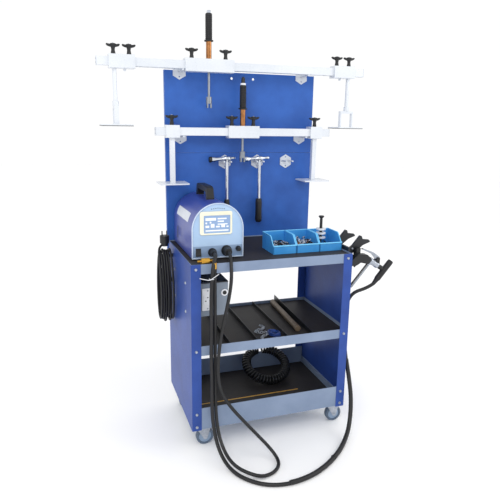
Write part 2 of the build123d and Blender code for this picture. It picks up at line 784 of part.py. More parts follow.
# ---------------------------------------------------------------- hammers
def hammer(x, left, right, tip):
    """Panel hammer lying across two clip arms: wide left face, slim right end, shaft and grip."""
    y = 184
    clip_top = 1091 + FIT
    with BuildPart() as tool:
        for start, end, radius in ((left, left + 24, 12), (left + 24, right - tip, 9.5),
                                   (right - tip, right, 7)):
            with BuildSketch(Plane.YZ.offset(start)):
                with Locations((y, clip_top + 9.5)):
                    Circle(radius)
            extrude(amount=end - start)
        with BuildSketch(Plane.XY.offset(clip_top + 9.5)):
            with Locations((x, y)):
                Circle(8.5)
        extrude(amount=-175)
        with BuildSketch(Plane.XY.offset(clip_top - 165.5)):
            with Locations((x, y)):
                Circle(15)
        extrude(amount=-103)
        fillet(tool.faces().sort_by(Axis.Z)[0].edges(), 6)
    return tool.part


save(hammer(-74, -152, -38, 6), "left_hammer")
save(hammer(72, 5, 116, 12), "right_hammer")


# ---------------------------------------------------------------- cables
def cable(points, diameter, label):
    """A tube along straight runs joined by tangent arcs, each as large as its runs allow."""
    runs = [Vector(*b) - Vector(*a) for a, b in zip(points, points[1:])]
    radii = []
    for before, after in zip(runs, runs[1:]):
        turn = before.get_angle(after)
        radii.append(0.45 * min(before.length, after.length) / tan(radians(turn / 2)))
    with BuildPart() as tube:
        with BuildLine() as route:
            FilletPolyline(*points, radius=radii)
        with BuildSketch(Plane(origin=points[0], z_dir=runs[0])):
            Circle(diameter / 2)
        sweep(path=route.wire())
    length = route.wire().length
    ideal = length * pi * diameter ** 2 / 4
    print(f"{label}: length {length:.0f}, volume ratio {tube.part.volume / ideal:.4f}")
    print("  runs " + " ".join(f"{run.length:.0f}" for run in runs))
    print("  radii " + " ".join(f"{radius:.0f}" for radius in radii))
    return tube.part


exit_y = front_y - 6 - SOCKET_REACH
weld_route = [(weld_out[0], exit_y, weld_out[1]), (-227, exit_y - 30, 782), (-240, -222, 772),
              (-252, -240, 736), (-256, -240, 670), (-257, -238, 590), (-255, -237, 500),
              (-257, -237, 410), (-254, -238, 320), (-255, -238, 230), (-253, -243, 150),
              (-247, -263, 80), (-235, -305, 30), (-216, -364, 8), (-182, -428, 7.2),
              (-122, -480, 7.1), (-42, -500, 7.2), (50, -486, 7.1), (128, -450, 7.2),
              (200, -400, 7.2), (262, -342, 11), (306, -298, 34), (332, -264, 84),
              (345, -236, 150), (347, -206, 222), (343, -178, 300), (341, -158, 380),
              (341, -150, 455), (343, -153, 525), (364, -166, 578)]
grip_end = grip_low - grip_dir * 26
weld_route += [tuple(grip_end - grip_dir * 26 + Vector(-12, 0, 4)), tuple(grip_end)]
save(cable(weld_route, WELD_CABLE, "weld_cable"), "weld_cable")

LUG = (-240.0, -229.0, 742.0)
ground_route = [(ground_out[0], exit_y, ground_out[1]), (-173, exit_y - 34, 777), (-178, -224, 752),
                (-181, -240, 700), (-190, -244, 640), (-205, -246, 570), (-222, -247, 490),
                (-232, -247, 410), (-234, -247, 330), (-221, -248, 262), (-188, -252, 202),
                (-140, -264, 142), (-88, -286, 82), (-48, -312, 38), (-28, -346, 12),
                (-34, -388, 6.8), (-70, -424, 6.6), (-122, -440, 12), (-170, -417, 23),
                (-204, -371, 28), (-222, -316, 42), (-233, -270, 84), (-238, -245, 140),
                (-239, -233, 215), (-239, -230, 300), (-240, -229, 385), (-239, -229, 470),
                (-240, -229, 555), (-240, -229, 640), (-241, -229, 700), LUG]
save(cable(ground_route, GROUND_CABLE, "ground_cable"), "ground_cable")

with BuildPart() as ground_clamp:
    with BuildSketch(Plane.YZ.offset(-283)):
        with Locations((-198, MAT_TOP + 12)):
            Circle(11.5)
    extrude(amount=30)
    for x in (-297, -253):
        with BuildSketch(Plane.YZ.offset(x)):
            with Locations((-198, MAT_TOP + 12)):
                Circle(4)
        extrude(amount=14)
    with BuildSketch(Plane.XY.offset(LUG[2])):
        with Locations(LUG[:2]):
            Circle(6.5)
    extrude(amount=21)
    with BuildSketch(Plane.XY.offset(LUG[2] + 17)):
        with Locations((LUG[0], -212)):
            Rectangle(11, 38)
    extrude(amount=5)
save(ground_clamp.part, "ground_clamp")


# ---------------------------------------------------------------- mains cord and air hose
HANK_X = (-379.0, -331.0)
HANK_Y = 115.0
PEG_Z = 714.0
HANK_HALF = [(34, 754), (60, 700), (75, 592), (66, 494), (40, 428)]
GLAND_Z = 610.0

with BuildPart() as mains_hank:
    with BuildSketch(Plane.YZ.offset(HANK_X[0])) as hank_outline:
        with BuildLine():
            Polyline(*[(HANK_Y + half, z) for half, z in HANK_HALF],
                     *[(HANK_Y - half, z) for half, z in reversed(HANK_HALF)], close=True)
        make_face()
        fillet(hank_outline.vertices(), 14)
    extrude(amount=HANK_X[1] - HANK_X[0])
    with BuildSketch(Plane.YZ.offset(HANK_X[0])):
        with Locations((HANK_Y, PEG_Z)):
            Circle(7 + FIT)
    extrude(amount=HANK_X[1] - HANK_X[0], mode=Mode.SUBTRACT)
    fillet(mains_hank.faces().sort_by(Axis.X)[0].outer_wire().edges(), 10)
    fillet(mains_hank.faces().sort_by(Axis.X)[-1].outer_wire().edges(), 10)
save(mains_hank.part, "mains_hank")

with BuildPart() as peg:
    with BuildSketch(facing(-HALF_W, HANK_Y, PEG_Z, (-1, 0, 0))):
        Circle(7)
    extrude(amount=-HALF_W - HANK_X[0])
    with BuildSketch(facing(HANK_X[0], HANK_Y, PEG_Z, (-1, 0, 0))):
        Circle(11)
    extrude(amount=5)
with BuildPart() as gland:
    with BuildSketch(facing(-HALF_W, HANK_Y, GLAND_Z, (-1, 0, 0))):
        RegularPolygon(12.5, 6)
    extrude(amount=3)
    with BuildSketch(facing(-HALF_W - 3, HANK_Y, GLAND_Z, (-1, 0, 0))):
        Circle(10)
    extrude(amount=3)
group([peg.part, gland.part], "cord_fittings")

PLUG_AT = (-357.0, 122.0)
with BuildPart() as mains_plug:
    with BuildSketch(Plane.XY.offset(HANK_HALF[0][1])):
        with Locations(PLUG_AT):
            Circle(14)
    extrude(amount=12)
    with BuildSketch(Plane.XY.offset(HANK_HALF[0][1] + 12)):
        with Locations(PLUG_AT):
            Circle(19)
    extrude(amount=31)
    with BuildSketch(Plane.XY.offset(HANK_HALF[0][1] + 43)):
        with Locations((PLUG_AT[0] - 9.5, PLUG_AT[1]), (PLUG_AT[0] + 9.5, PLUG_AT[1])):
            Circle(2.4)
    extrude(amount=19)
save(mains_plug.part, "mains_plug")

HOSE_RING = 92.0
HOSE_LEAN = 25.0
hose_rise = HOSE_RING * sin(radians(HOSE_LEAN))
with BuildPart() as hose_coil:
    with Locations(Location((98, 112, BOTTOM_FLOOR + SHEET + MAT + CURLY_HOSE / 2 + hose_rise),
                            (HOSE_LEAN, 0, 0))):
        Torus(HOSE_RING, CURLY_HOSE / 2)
save(hose_coil.part, "hose_coil")
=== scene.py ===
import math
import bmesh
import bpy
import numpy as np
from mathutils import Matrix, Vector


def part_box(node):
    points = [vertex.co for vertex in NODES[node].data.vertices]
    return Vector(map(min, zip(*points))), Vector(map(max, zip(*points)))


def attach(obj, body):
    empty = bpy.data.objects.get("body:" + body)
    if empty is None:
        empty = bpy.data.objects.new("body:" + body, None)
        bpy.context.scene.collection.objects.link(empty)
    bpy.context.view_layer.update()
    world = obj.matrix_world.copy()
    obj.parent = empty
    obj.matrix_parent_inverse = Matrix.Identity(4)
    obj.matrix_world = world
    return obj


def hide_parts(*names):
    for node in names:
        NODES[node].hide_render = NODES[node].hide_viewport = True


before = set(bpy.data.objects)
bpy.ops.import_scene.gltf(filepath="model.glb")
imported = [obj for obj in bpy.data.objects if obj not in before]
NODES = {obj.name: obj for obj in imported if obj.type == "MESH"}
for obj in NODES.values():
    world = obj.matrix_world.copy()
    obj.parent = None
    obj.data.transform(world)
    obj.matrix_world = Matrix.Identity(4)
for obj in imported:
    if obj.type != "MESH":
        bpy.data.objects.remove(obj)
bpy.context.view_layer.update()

# %% [markdown]
# # A spot welder station for panel repair
# The station is a blue sheet-steel trolley with a tool board, a welding power source, parts
# bins, a pulling gun, two aluminium pulling beams, two hammers and its cables.  The CAD
# model gives every rigid shape and where each one moves.  This file adds what CAD doesn't
# have: soft cords, moulded grips, small loose parts, and the look of each material.

PI = math.pi

# %% [markdown]
# ## Camera
# The camera stands a little left of the trolley and a bit above its tray, and looks slightly
# down.  It is set first, so that every later choice is judged from the final view.  Its
# axes are built from three angles: a turn to the right, a tilt down and a very small roll.

# %% Camera
CAMERA_AT = Vector((-0.7237, -1.9856, 1.2541))
TURN, TILT, ROLL = 0.3366, 0.2382, 0.0161
LENS_MM, SENSOR_MM = 38.11, 36.0


def camera_matrix(at, turn, tilt, roll):
    """World matrix of a camera that looks along +Y, then turns right, tilts down and rolls."""
    right = Vector((math.cos(turn), -math.sin(turn), 0))
    ahead = Vector((math.sin(turn) * math.cos(tilt), math.cos(turn) * math.cos(tilt),
                    -math.sin(tilt)))
    up = right.cross(ahead)
    right2 = right * math.cos(roll) + up * math.sin(roll)
    up2 = up * math.cos(roll) - right * math.sin(roll)
    axes = Matrix((right2, up2, -ahead)).transposed()
    return Matrix.Translation(at) @ axes.to_4x4()


camera_data = bpy.data.cameras.new("camera")
camera_data.lens = LENS_MM
camera_data.sensor_width = SENSOR_MM
camera = bpy.data.objects.new("camera", camera_data)
bpy.context.scene.collection.objects.link(camera)
camera.matrix_world = camera_matrix(CAMERA_AT, TURN, TILT, ROLL)
bpy.context.scene.camera = camera
print("camera lens", camera_data.lens, "mm")

# %% [markdown]
# ## Building helpers
# Shapes are made from numbers: a grid of points for a swept or turned surface, or an outline
# that is pushed along an axis.  Each helper closes its ends and welds its seam, so that the
# mesh is a solid skin.  Lengths are written in millimetres and turned to metres at the end.

# %% Mesh helpers
def mesh_object(name, points, faces, smooth=40):
    """A mesh object at the origin, with outward faces, shaded smooth below an edge angle."""
    mesh = bpy.data.meshes.new(name)
    mesh.from_pydata(np.asarray(points).tolist(), [], faces)
    work = bmesh.new()
    work.from_mesh(mesh)
    bmesh.ops.remove_doubles(work, verts=work.verts, dist=1e-6)
    bmesh.ops.recalc_face_normals(work, faces=work.faces)
    work.to_mesh(mesh)
    work.free()
    mesh.shade_smooth()
    mesh.set_sharp_from_angle(angle=math.radians(smooth))
    thing = bpy.data.objects.new(name, mesh)
    bpy.context.scene.collection.objects.link(thing)
    return thing


def frame_of(direction):
    """Two unit vectors square to a direction, and the direction itself."""
    ahead = np.asarray(direction, float)
    ahead = ahead / np.linalg.norm(ahead)
    other = np.array([0.0, 0.0, 1.0]) if abs(ahead[2]) < 0.9 else np.array([1.0, 0.0, 0.0])
    side = np.cross(ahead, other)
    side = side / np.linalg.norm(side)
    return side, np.cross(side, ahead), ahead


def grid_faces(rows, columns, closed=False):
    """Quads between neighbouring rows of points; each row is a closed ring of columns."""
    row = np.arange(rows if closed else rows - 1)[:, None]
    after_row = (row + 1) % rows
    here = np.arange(columns)[None, :]
    after = (here + 1) % columns
    quads = np.stack([row * columns + here, row * columns + after,
                      after_row * columns + after, after_row * columns + here], -1)
    return quads.reshape(-1, 4).tolist()


def skin(grid):
    """Rings of points as a closed skin: quads between the rings and a cap on each end."""
    rows, columns = grid.shape[:2]
    faces = grid_faces(rows, columns)
    faces.append(list(range(columns))[::-1])
    faces.append([(rows - 1) * columns + k for k in range(columns)])
    return grid.reshape(-1, 3), faces


def lathe(start, direction, profile, around=32):
    """A turned piece: each (distance along, radius) of the profile sweeps a full circle."""
    side, up, ahead = frame_of(direction)
    along, radius = np.array(profile, float).T
    angles = np.arange(around) * 2 * PI / around
    ring = np.cos(angles)[:, None] * side + np.sin(angles)[:, None] * up
    centre = np.asarray(start, float) + along[:, None] * ahead
    return skin(centre[:, None, :] + radius[:, None, None] * ring[None])


def cylinder(start, direction, low, high, radius, around=16):
    """A plain round bar from low to high along a direction, measured from its start."""
    return lathe(start, direction, [(low, 0), (low, radius), (high, radius), (high, 0)], around)


def tube(path, radius, around=12):
    """A round tube along a path: a ring square to the path stands at each of its points."""
    path = np.asarray(path, float)
    ahead = np.gradient(path, axis=0)
    ahead /= np.linalg.norm(ahead, axis=1)[:, None]
    lean = frame_of(path[-1] - path[0] + 1e-6)[0] if len(path) < 4 else frame_of(ahead[0])[0]
    side = lean - (ahead @ lean)[:, None] * ahead
    side /= np.linalg.norm(side, axis=1)[:, None]
    up = np.cross(ahead, side)
    angles = np.arange(around) * 2 * PI / around
    radius = np.broadcast_to(radius, len(path))[:, None, None]
    ring = (np.cos(angles)[None, :, None] * side[:, None]
            + np.sin(angles)[None, :, None] * up[:, None])
    return skin(path[:, None, :] + radius * ring)


def ring_solid(centre, axis, major, minor, around=24, section=8, stretch=1.0):
    """A closed ring: a small circle carried round a big one, longer one way by stretch."""
    side, up, ahead = frame_of(axis)
    a = (np.arange(around) * 2 * PI / around)[:, None, None]
    b = (np.arange(section) * 2 * PI / section)[None, :, None]
    out = np.cos(a) * side * stretch + np.sin(a) * up
    flat = np.cos(a) * side + np.sin(a) * up
    grid = np.asarray(centre) + major * out + minor * (np.cos(b) * flat + np.sin(b) * ahead)
    return grid.reshape(-1, 3), grid_faces(around, section, True)


def prism(outline, low, high, axis):
    """A flat outline pushed from low to high along axis 0, 1 or 2."""
    flat = np.asarray(outline, float)
    count = len(flat)
    points = np.vstack([np.insert(flat, axis, low, axis=1), np.insert(flat, axis, high, axis=1)])
    faces = [list(range(count)), list(range(2 * count - 1, count - 1, -1))]
    faces += [[i, (i + 1) % count, count + (i + 1) % count, count + i] for i in range(count)]
    return points, faces


def box(low, high):
    """A box between two corners."""
    outline = [(low[0], low[1]), (high[0], low[1]), (high[0], high[1]), (low[0], high[1])]
    return prism(outline, low[2], high[2], 2)


def rounded_outline(centre, half, radius, steps=6):
    """A rectangle with round corners, as points in a plane."""
    angles = np.linspace(0, PI / 2, steps)
    corners = []
    for turn, (sx, sy) in enumerate(((1, 1), (-1, 1), (-1, -1), (1, -1))):
        a = angles + turn * PI / 2
        x = centre[0] + sx * (half[0] - radius) + radius * np.cos(a)
        y = centre[1] + sy * (half[1] - radius) + radius * np.sin(a)
        corners.append(np.stack([x, y], 1))
    return np.vstack(corners)


def merged(parts):
    """Several (points, faces) joined in one list; each stays its own shell."""
    points, faces, base = [], [], 0
    for more_points, more_faces in parts:
        points.append(np.asarray(more_points, float))
        faces += [[base + i for i in face] for face in more_faces]
        base += len(points[-1])
    return np.vstack(points), faces


def mm(*values):
    """Millimetres to metres."""
    return tuple(v / 1000 for v in values)


def give(thing, material):
    """Puts one material on a piece, in place of any it had."""
    thing.data.materials.clear()
    thing.data.materials.append(material)


def rounded(thing, width_mm, segments=3, angle=35):
    """Rounds a piece's sharp edges by a small bevel."""
    bevel = thing.modifiers.new("rounded edges", "BEVEL")
    bevel.width = width_mm / 1000
    bevel.segments = segments
    bevel.limit_method = "ANGLE"
    bevel.angle_limit = math.radians(angle)


def piece(name, parts, material, body, smooth=40, round_mm=0):
    """One finished piece from parts in millimetres, with its material and its body."""
    points, faces = merged(parts)
    thing = mesh_object(name, points / 1000, faces, smooth)
    give(thing, material)
    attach(thing, body)
    if round_mm:
        rounded(thing, round_mm)
    return thing


def node_box(name):
    """A CAD node's two corners at rest, in millimetres."""
    low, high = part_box(name)
    return np.array(low) * 1000, np.array(high) * 1000


print("mesh helpers ready")

# %% [markdown]
# ## Floor and light
# A white floor and a bright, even world give the soft, almost shadowless light of a product
# studio.  One large lamp above and in front adds the gentle shine on metal and paint.

# %% Floor, world and lamps
floor_points, floor_faces = box((-9, -9, -0.02), (9, 14, 0))
floor = mesh_object("studio_floor", floor_points, floor_faces)

WORLD_STRENGTH = 1.02
world = bpy.data.worlds.new("studio")
bpy.context.scene.world = world
world.use_nodes = True
sky = world.node_tree.nodes["Background"]
sky.inputs["Color"].default_value = (1.0, 1.0, 1.0, 1.0)
sky.inputs["Strength"].default_value = WORLD_STRENGTH
bpy.context.scene.view_settings.view_transform = "Standard"


def area_lamp(name, at, target, size, power):
    """A square soft lamp that faces its target."""
    data = bpy.data.lights.new(name, "AREA")
    data.shape = "SQUARE"
    data.size = size
    data.energy = power
    lamp = bpy.data.objects.new(name, data)
    bpy.context.scene.collection.objects.link(lamp)
    lamp.location = at
    way = Vector(target) - Vector(at)
    lamp.rotation_euler = way.to_track_quat("-Z", "Y").to_euler()


area_lamp("key lamp", (-1.6, -3.0, 3.2), (0, 0, 0.9), 1.8, 42)
area_lamp("right lamp", (2.8, -1.8, 2.2), (0.1, 0, 0.8), 1.6, 20)
print("studio ready")

# %% [markdown]
# ## Material helpers
# Every finish is a small shader network.  A noise pattern in the object's own coordinates is
# given a real size in millimetres, and drives colour, roughness and bump together, because
# on a real surface dirt, polish and texture go together.

# %% Shader helpers
def linear(hex_colour):
    """sRGB hex to a linear colour with alpha."""
    parts = [int(hex_colour[i:i + 2], 16) / 255 for i in (1, 3, 5)]
    return tuple(c / 12.92 if c <= 0.04045 else ((c + 0.055) / 1.055) ** 2.4
                 for c in parts) + (1.0,)


def add(tree, kind, links=(), **values):
    """Adds a shader node, sets its inputs or properties, and links (socket, output) pairs."""
    node = tree.nodes.new(kind)
    for key, value in values.items():
        label = key.replace("_", " ")
        if label in node.inputs:
            node.inputs[label].default_value = value
        else:
            setattr(node, key, value)
    for socket, source in links:
        tree.links.new(source, node.inputs[socket])
    return node


def new_material(name):
    """A node material with its shader and object coordinates."""
    material = bpy.data.materials.new(name)
    material.use_nodes = True
    tree = material.node_tree
    surface = tree.nodes["Principled BSDF"]
    where = add(tree, "ShaderNodeTexCoord").outputs["Object"]
    return material, tree, surface, where


def noise(tree, where, size_mm, detail=3.0, stretch=(1, 1, 1)):
    """Noise whose grains are about size_mm across, stretched along chosen axes."""
    scaled = add(tree, "ShaderNodeMapping", [("Vector", where)])
    scaled.inputs["Scale"].default_value = tuple(1 / s for s in stretch)
    return add(tree, "ShaderNodeTexNoise", [("Vector", scaled.outputs["Vector"])],
               Scale=1000 / size_mm, Detail=detail, Roughness=0.55).outputs["Fac"]


def span(tree, source, low, high, to_low, to_high):
    """Stretches a value from one range to another, clamped."""
    node = add(tree, "ShaderNodeMapRange", [("Value", source)])
    for label, value in (("From Min", low), ("From Max", high), ("To Min", to_low),
                         ("To Max", to_high)):
        node.inputs[label].default_value = value
    return node.outputs["Result"]


def mix_colour(tree, amount, first, second):
    """Blends two colours by an amount; each is a tuple or another node's output."""
    node = add(tree, "ShaderNodeMix", data_type="RGBA")
    tree.links.new(amount, node.inputs["Factor"])
    for socket, value in ((node.inputs[6], first), (node.inputs[7], second)):
        if isinstance(value, tuple):
            socket.default_value = value
        else:
            tree.links.new(value, socket)
    return node.outputs[2]


def bump(tree, height, surface, distance_mm, strength=0.5):
    """Bump of a given depth on a surface."""
    node = add(tree, "ShaderNodeBump", [("Height", height)], Strength=strength,
               Distance=distance_mm / 1000)
    tree.links.new(node.outputs["Normal"], surface.inputs["Normal"])


def finish_material(name, colour, second, grain_mm, rough, metallic=0.0, depth_mm=0.03,
                    coat=0.0, stretch=(1, 1, 1), patch_mm=90, strength=0.5, shine=0.5):
    """A general finish: two close colours in broad patches, and a fine grain that drives
    roughness and bump.  rough is a (lowest, highest) pair, shine the specular level."""
    material, tree, surface, where = new_material(name)
    patches = span(tree, noise(tree, where, patch_mm, 4), 0.35, 0.65, 0, 1)
    grain = noise(tree, where, grain_mm, 4, stretch)
    tree.links.new(mix_colour(tree, patches, linear(colour), linear(second)),
                   surface.inputs["Base Color"])
    tree.links.new(span(tree, grain, 0.3, 0.7, rough[0], rough[1]),
                   surface.inputs["Roughness"])
    surface.inputs["Metallic"].default_value = metallic
    surface.inputs["Specular IOR Level"].default_value = shine
    surface.inputs["Coat Weight"].default_value = coat
    surface.inputs["Coat Roughness"].default_value = 0.12
    bump(tree, grain, surface, depth_mm, strength)
    return material


print("shader helpers ready")

# %% [markdown]
# ## Finishes
# Powder coat has a fine orange-peel of about two millimetres.  Anodised and milled aluminium
# shows a grain along its length.  Rubber is dark, dull and dusty.  Chrome is smooth, with only
# faint handling marks.

# %% Metals and coatings
royal_blue = finish_material("royal blue powder coat", "#2C4C9A", "#27448C", 2.2, (0.36, 0.48),
                             depth_mm=0.05, shine=0.3)
board_blue = finish_material("deep blue powder coat", "#3262B4", "#2C58A6", 2.2, (0.36, 0.48),
                             depth_mm=0.05, shine=0.3)
lip_grey = finish_material("grey-blue powder coat", "#7A8AA4", "#8292AC", 2.0, (0.36, 0.48),
                           depth_mm=0.04, shine=0.3)
dark_paint = finish_material("black powder coat", "#16181C", "#1E2126", 1.6, (0.35, 0.5),
                             depth_mm=0.04)
case_blue = finish_material("violet-blue case paint", "#34459A", "#2E3E8E", 1.2, (0.26, 0.38),
                            depth_mm=0.04, shine=0.6)
black_sheen = finish_material("black gloss enamel", "#0B0B0D", "#141418", 1.2, (0.2, 0.34),
                              depth_mm=0.03, coat=0.2)
silver = finish_material("satin anodised aluminium", "#E0E4EA", "#D6DBE2", 0.5, (0.24, 0.4),
                         metallic=0.25, depth_mm=0.015, stretch=(30, 1, 1), patch_mm=160)
white_coat = finish_material("light grey powder coat", "#D2D7DF", "#C6CCD6", 1.6, (0.32, 0.45),
                             depth_mm=0.04)
zinc = finish_material("bright zinc plate", "#B8BDC6", "#A2A9B4", 0.8, (0.25, 0.45),
                       metallic=1.0, depth_mm=0.02, patch_mm=12)
chrome = finish_material("chrome plate", "#DDE1E7", "#CBD0D8", 3.0, (0.08, 0.2),
                         metallic=1.0, depth_mm=0.008, patch_mm=30)
steel = finish_material("turned steel", "#9EA3AA", "#8A9098", 0.3, (0.25, 0.42),
                        metallic=1.0, depth_mm=0.02, stretch=(1, 1, 0.3), patch_mm=25)
steel_lever = finish_material("pressed bright steel", "#B4B9C1", "#9EA4AE", 1.0, (0.22, 0.38),
                              metallic=1.0, depth_mm=0.03, patch_mm=20)
copper = finish_material("copper plate", "#B98153", "#976741", 0.6, (0.2, 0.36),
                         metallic=1.0, depth_mm=0.02, patch_mm=14)
brass = finish_material("cast brass", "#D9A94A", "#C2913A", 1.0, (0.22, 0.4), metallic=1.0,
                        depth_mm=0.04, patch_mm=12)

# %% Rubber and plastics
# Black plastic also stands for the shade in holes, vents and the side slot: there it is painted
# shade.
black_plastic_and_hole_shade = finish_material("black moulded plastic and painted hole shade", "#101114", "#16181B", 0.7, (0.38, 0.52),
                                depth_mm=0.03, patch_mm=40)
rubber = finish_material("black rubber", "#0D0D0F", "#16161A", 0.9, (0.45, 0.62), depth_mm=0.05,
                         patch_mm=35)
mat_rubber = finish_material("ribbed shelf mat", "#2A2829", "#343130", 1.2, (0.5, 0.66),
                             depth_mm=0.08, patch_mm=110, shine=0.25)
bin_plastic = finish_material("sky blue bin plastic", "#459CE0", "#3C92D8", 1.0, (0.3, 0.42),
                              depth_mm=0.03, patch_mm=50, shine=0.35)
white_plastic = finish_material("white plastic", "#E9EAEE", "#DFE1E6", 1.0, (0.3, 0.42),
                                depth_mm=0.02, patch_mm=40)
cable_rubber = finish_material("cable jacket", "#0C0C0E", "#151519", 1.4, (0.4, 0.58),
                               depth_mm=0.06, patch_mm=60)
# The rims are the bins' own plastic; their lighter colour is a painted highlight.
bin_rim_highlight = finish_material("sky blue bin plastic with painted rim highlight", "#78CBF8", "#6CC2F2", 1.0, (0.25, 0.36),
                          depth_mm=0.03, patch_mm=50)
oiled_steel = finish_material("oiled dark steel", "#3A3632", "#28251F", 0.9, (0.3, 0.5),
                              metallic=0.8, depth_mm=0.05, patch_mm=14)
bar_steel = finish_material("brown mill-scale steel", "#6E5F4E", "#57493B", 1.4, (0.4, 0.6),
                            metallic=0.4, depth_mm=0.08, stretch=(1, 8, 1), patch_mm=30)
wheel_tread = finish_material("grey-blue polyurethane", "#8FA3BC", "#8297B2", 1.2, (0.3, 0.44),
                              depth_mm=0.03, patch_mm=30)
tyre_grey = finish_material("dark grey-blue tyre", "#5A6B80", "#4C5B6E", 1.6, (0.4, 0.56),
                            depth_mm=0.05, patch_mm=24)
nylon = finish_material("white nylon", "#E4E6EA", "#D8DADF", 0.8, (0.35, 0.5), depth_mm=0.02,
                        patch_mm=20)
screen_glass = finish_material("display glass", "#8CA9D0", "#84A0C8", 4.0, (0.05, 0.12),
                               depth_mm=0.0, coat=0.6, patch_mm=60)
screen_ink = finish_material("display segments", "#F3F7FC", "#E8EFF8", 1.0, (0.2, 0.3),
                             depth_mm=0.0, patch_mm=20)
cream_plastic = finish_material("cream moulded plastic", "#F1EED8", "#E9E5CC", 1.0,
                                (0.3, 0.42), depth_mm=0.02, patch_mm=30)
floor_paint = finish_material("studio floor paint", "#FFFFFF", "#FDFDFE", 6.0, (0.6, 0.75),
                              depth_mm=0.02, patch_mm=900)
floor.data.materials.append(floor_paint)


def banded(name, axis, at_mm, low, high, grain_mm, rough, soft_mm=0.4, coat=0.1):
    """Two-colour enamel with a straight line between the colours, square to one axis."""
    material, tree, surface, where = new_material(name)
    place = add(tree, "ShaderNodeSeparateXYZ", [("Vector", where)]).outputs[axis]
    side = span(tree, place, (at_mm - soft_mm) / 1000, (at_mm + soft_mm) / 1000, 0, 1)
    patches = span(tree, noise(tree, where, 80, 4), 0.35, 0.65, 0, 1)
    lower = mix_colour(tree, patches, linear(low[0]), linear(low[1]))
    upper = mix_colour(tree, patches, linear(high[0]), linear(high[1]))
    tree.links.new(mix_colour(tree, side, lower, upper), surface.inputs["Base Color"])
    grain = noise(tree, where, grain_mm, 4)
    tree.links.new(span(tree, grain, 0.3, 0.7, rough[0], rough[1]),
                   surface.inputs["Roughness"])
    surface.inputs["Coat Weight"].default_value = coat
    surface.inputs["Coat Roughness"].default_value = 0.12
    bump(tree, grain, surface, 0.03, 0.5)
    return material


FRONT_TONE_LINE, BOX_TONE_LINE = 803, 668.6
# The bezel is the front's pale blue, painted lighter still: the extra lightness is a painted
# highlight along its edge.
bezel_blue_and_highlight = finish_material("pale blue bezel with painted highlight", "#C4D3E6", "#BACBE0", 1.2, (0.3, 0.42),
                             depth_mm=0.02, patch_mm=50)
front_blue = banded("pale blue screen-printed front", 2, FRONT_TONE_LINE,
                    ("#869EBE", "#7C94B4"), ("#A9C4E2", "#A0BCDC"), 1.5, (0.3, 0.42))
box_grey = banded("grey and black box enamel", 2, BOX_TONE_LINE, ("#7C8796", "#74808F"),
                  ("#101114", "#16181C"), 1.6, (0.35, 0.5))
print(len(bpy.data.materials), "finishes")

# %% [markdown]
# ## Paint the CAD pieces
# The rigid CAD shapes are kept and given their finish.

# %% Finishes of the CAD nodes
FINISHES = {
    royal_blue: ("left_side_panel", "right_side_panel"),
    board_blue: ("tool_board",),
    lip_grey: ("top_tray", "middle_shelf", "bottom_shelf"),
    mat_rubber: ("shelf_mats",),
    dark_paint: ("shelf_dividers", "gun_holder"),
    box_grey: ("power_box",),
    zinc: ("frame_bolts", "caster_plates", "front_left_fork", "front_right_fork"),
    white_coat: ("tool_clips",),
    white_plastic: ("socket_panel",),
    case_blue: ("welder_case",),
    front_blue: ("welder_front",),
    black_plastic_and_hole_shade: ("rocker_switch", "welder_sockets", "welder_handle", "mains_plug",
                    "cord_fittings", "gun_body", "upper_carriage_knobs", "upper_left_knobs",
                    "upper_right_knobs", "lower_carriage_knobs", "lower_left_knob",
                    "lower_right_knob", "front_left_wheel", "front_right_wheel",
                    "rear_left_wheel", "rear_right_wheel"),
    bin_plastic: ("parts_bins",),
    silver: ("upper_beam", "lower_beam", "upper_carriage", "lower_carriage",
             "upper_left_slider", "upper_right_slider", "lower_left_leg", "lower_right_leg",
             "upper_left_foot", "upper_right_foot"),
    steel_lever: ("gun_trigger",),
    chrome: ("left_hammer", "right_hammer"),
    rubber: ("gun_grip", "upper_puller_grip", "lower_puller_grip"),
    copper: ("upper_puller_tube", "lower_puller_tube"),
    steel: ("upper_puller_rod", "lower_puller_rod"),
    brass: ("ground_clamp",),
}
for material, names in FINISHES.items():
    for name in names:
        give(NODES[name], material)
print("painted", sum(len(names) for names in FINISHES.values()), "CAD pieces")

# %% [markdown]
# ## Cables
# A cable is one smooth curve with its real length and thickness, and it rests on the floor or
# hangs from where it is held.  The welding cable goes from the welder over the tray, down to
# the floor, across in front of the trolley and up behind the right post to the gun.

# %% Cable curves
def cable_curve(name, points_mm, diameter_mm, material, steps=8):
    """A round NURBS cable led by its control points, given in millimetres."""
    data = bpy.data.curves.new(name, "CURVE")
    data.dimensions = "3D"
    line = data.splines.new("NURBS")
    line.points.add(len(points_mm) - 1)
    for point, place in zip(line.points, points_mm):
        point.co = (*mm(*place), 1.0)
    line.order_u = 3
    line.use_endpoint_u = True
    line.resolution_u = steps
    data.bevel_depth = diameter_mm / 2000
    data.bevel_resolution = 5
    data.use_fill_caps = True
    thing = bpy.data.objects.new(name, data)
    bpy.context.scene.collection.objects.link(thing)
    data.materials.append(material)
    return thing


def route_line(cable):
    """The points in millimetres that a cable's own smooth line passes through."""
    bare = cable.data.copy()
    bare.bevel_depth = 0.0
    helper = bpy.data.objects.new("route", bare)
    mesh = bpy.data.meshes.new_from_object(helper)
    line = np.empty(len(mesh.vertices) * 3)
    mesh.vertices.foreach_get("co", line)
    bpy.data.objects.remove(helper)
    return line.reshape(-1, 3) * 1000


def distance_along(line):
    """How far along a line of points each of them is."""
    steps = np.linalg.norm(np.diff(line, axis=0), axis=1)
    return np.concatenate([[0], np.cumsum(steps)])


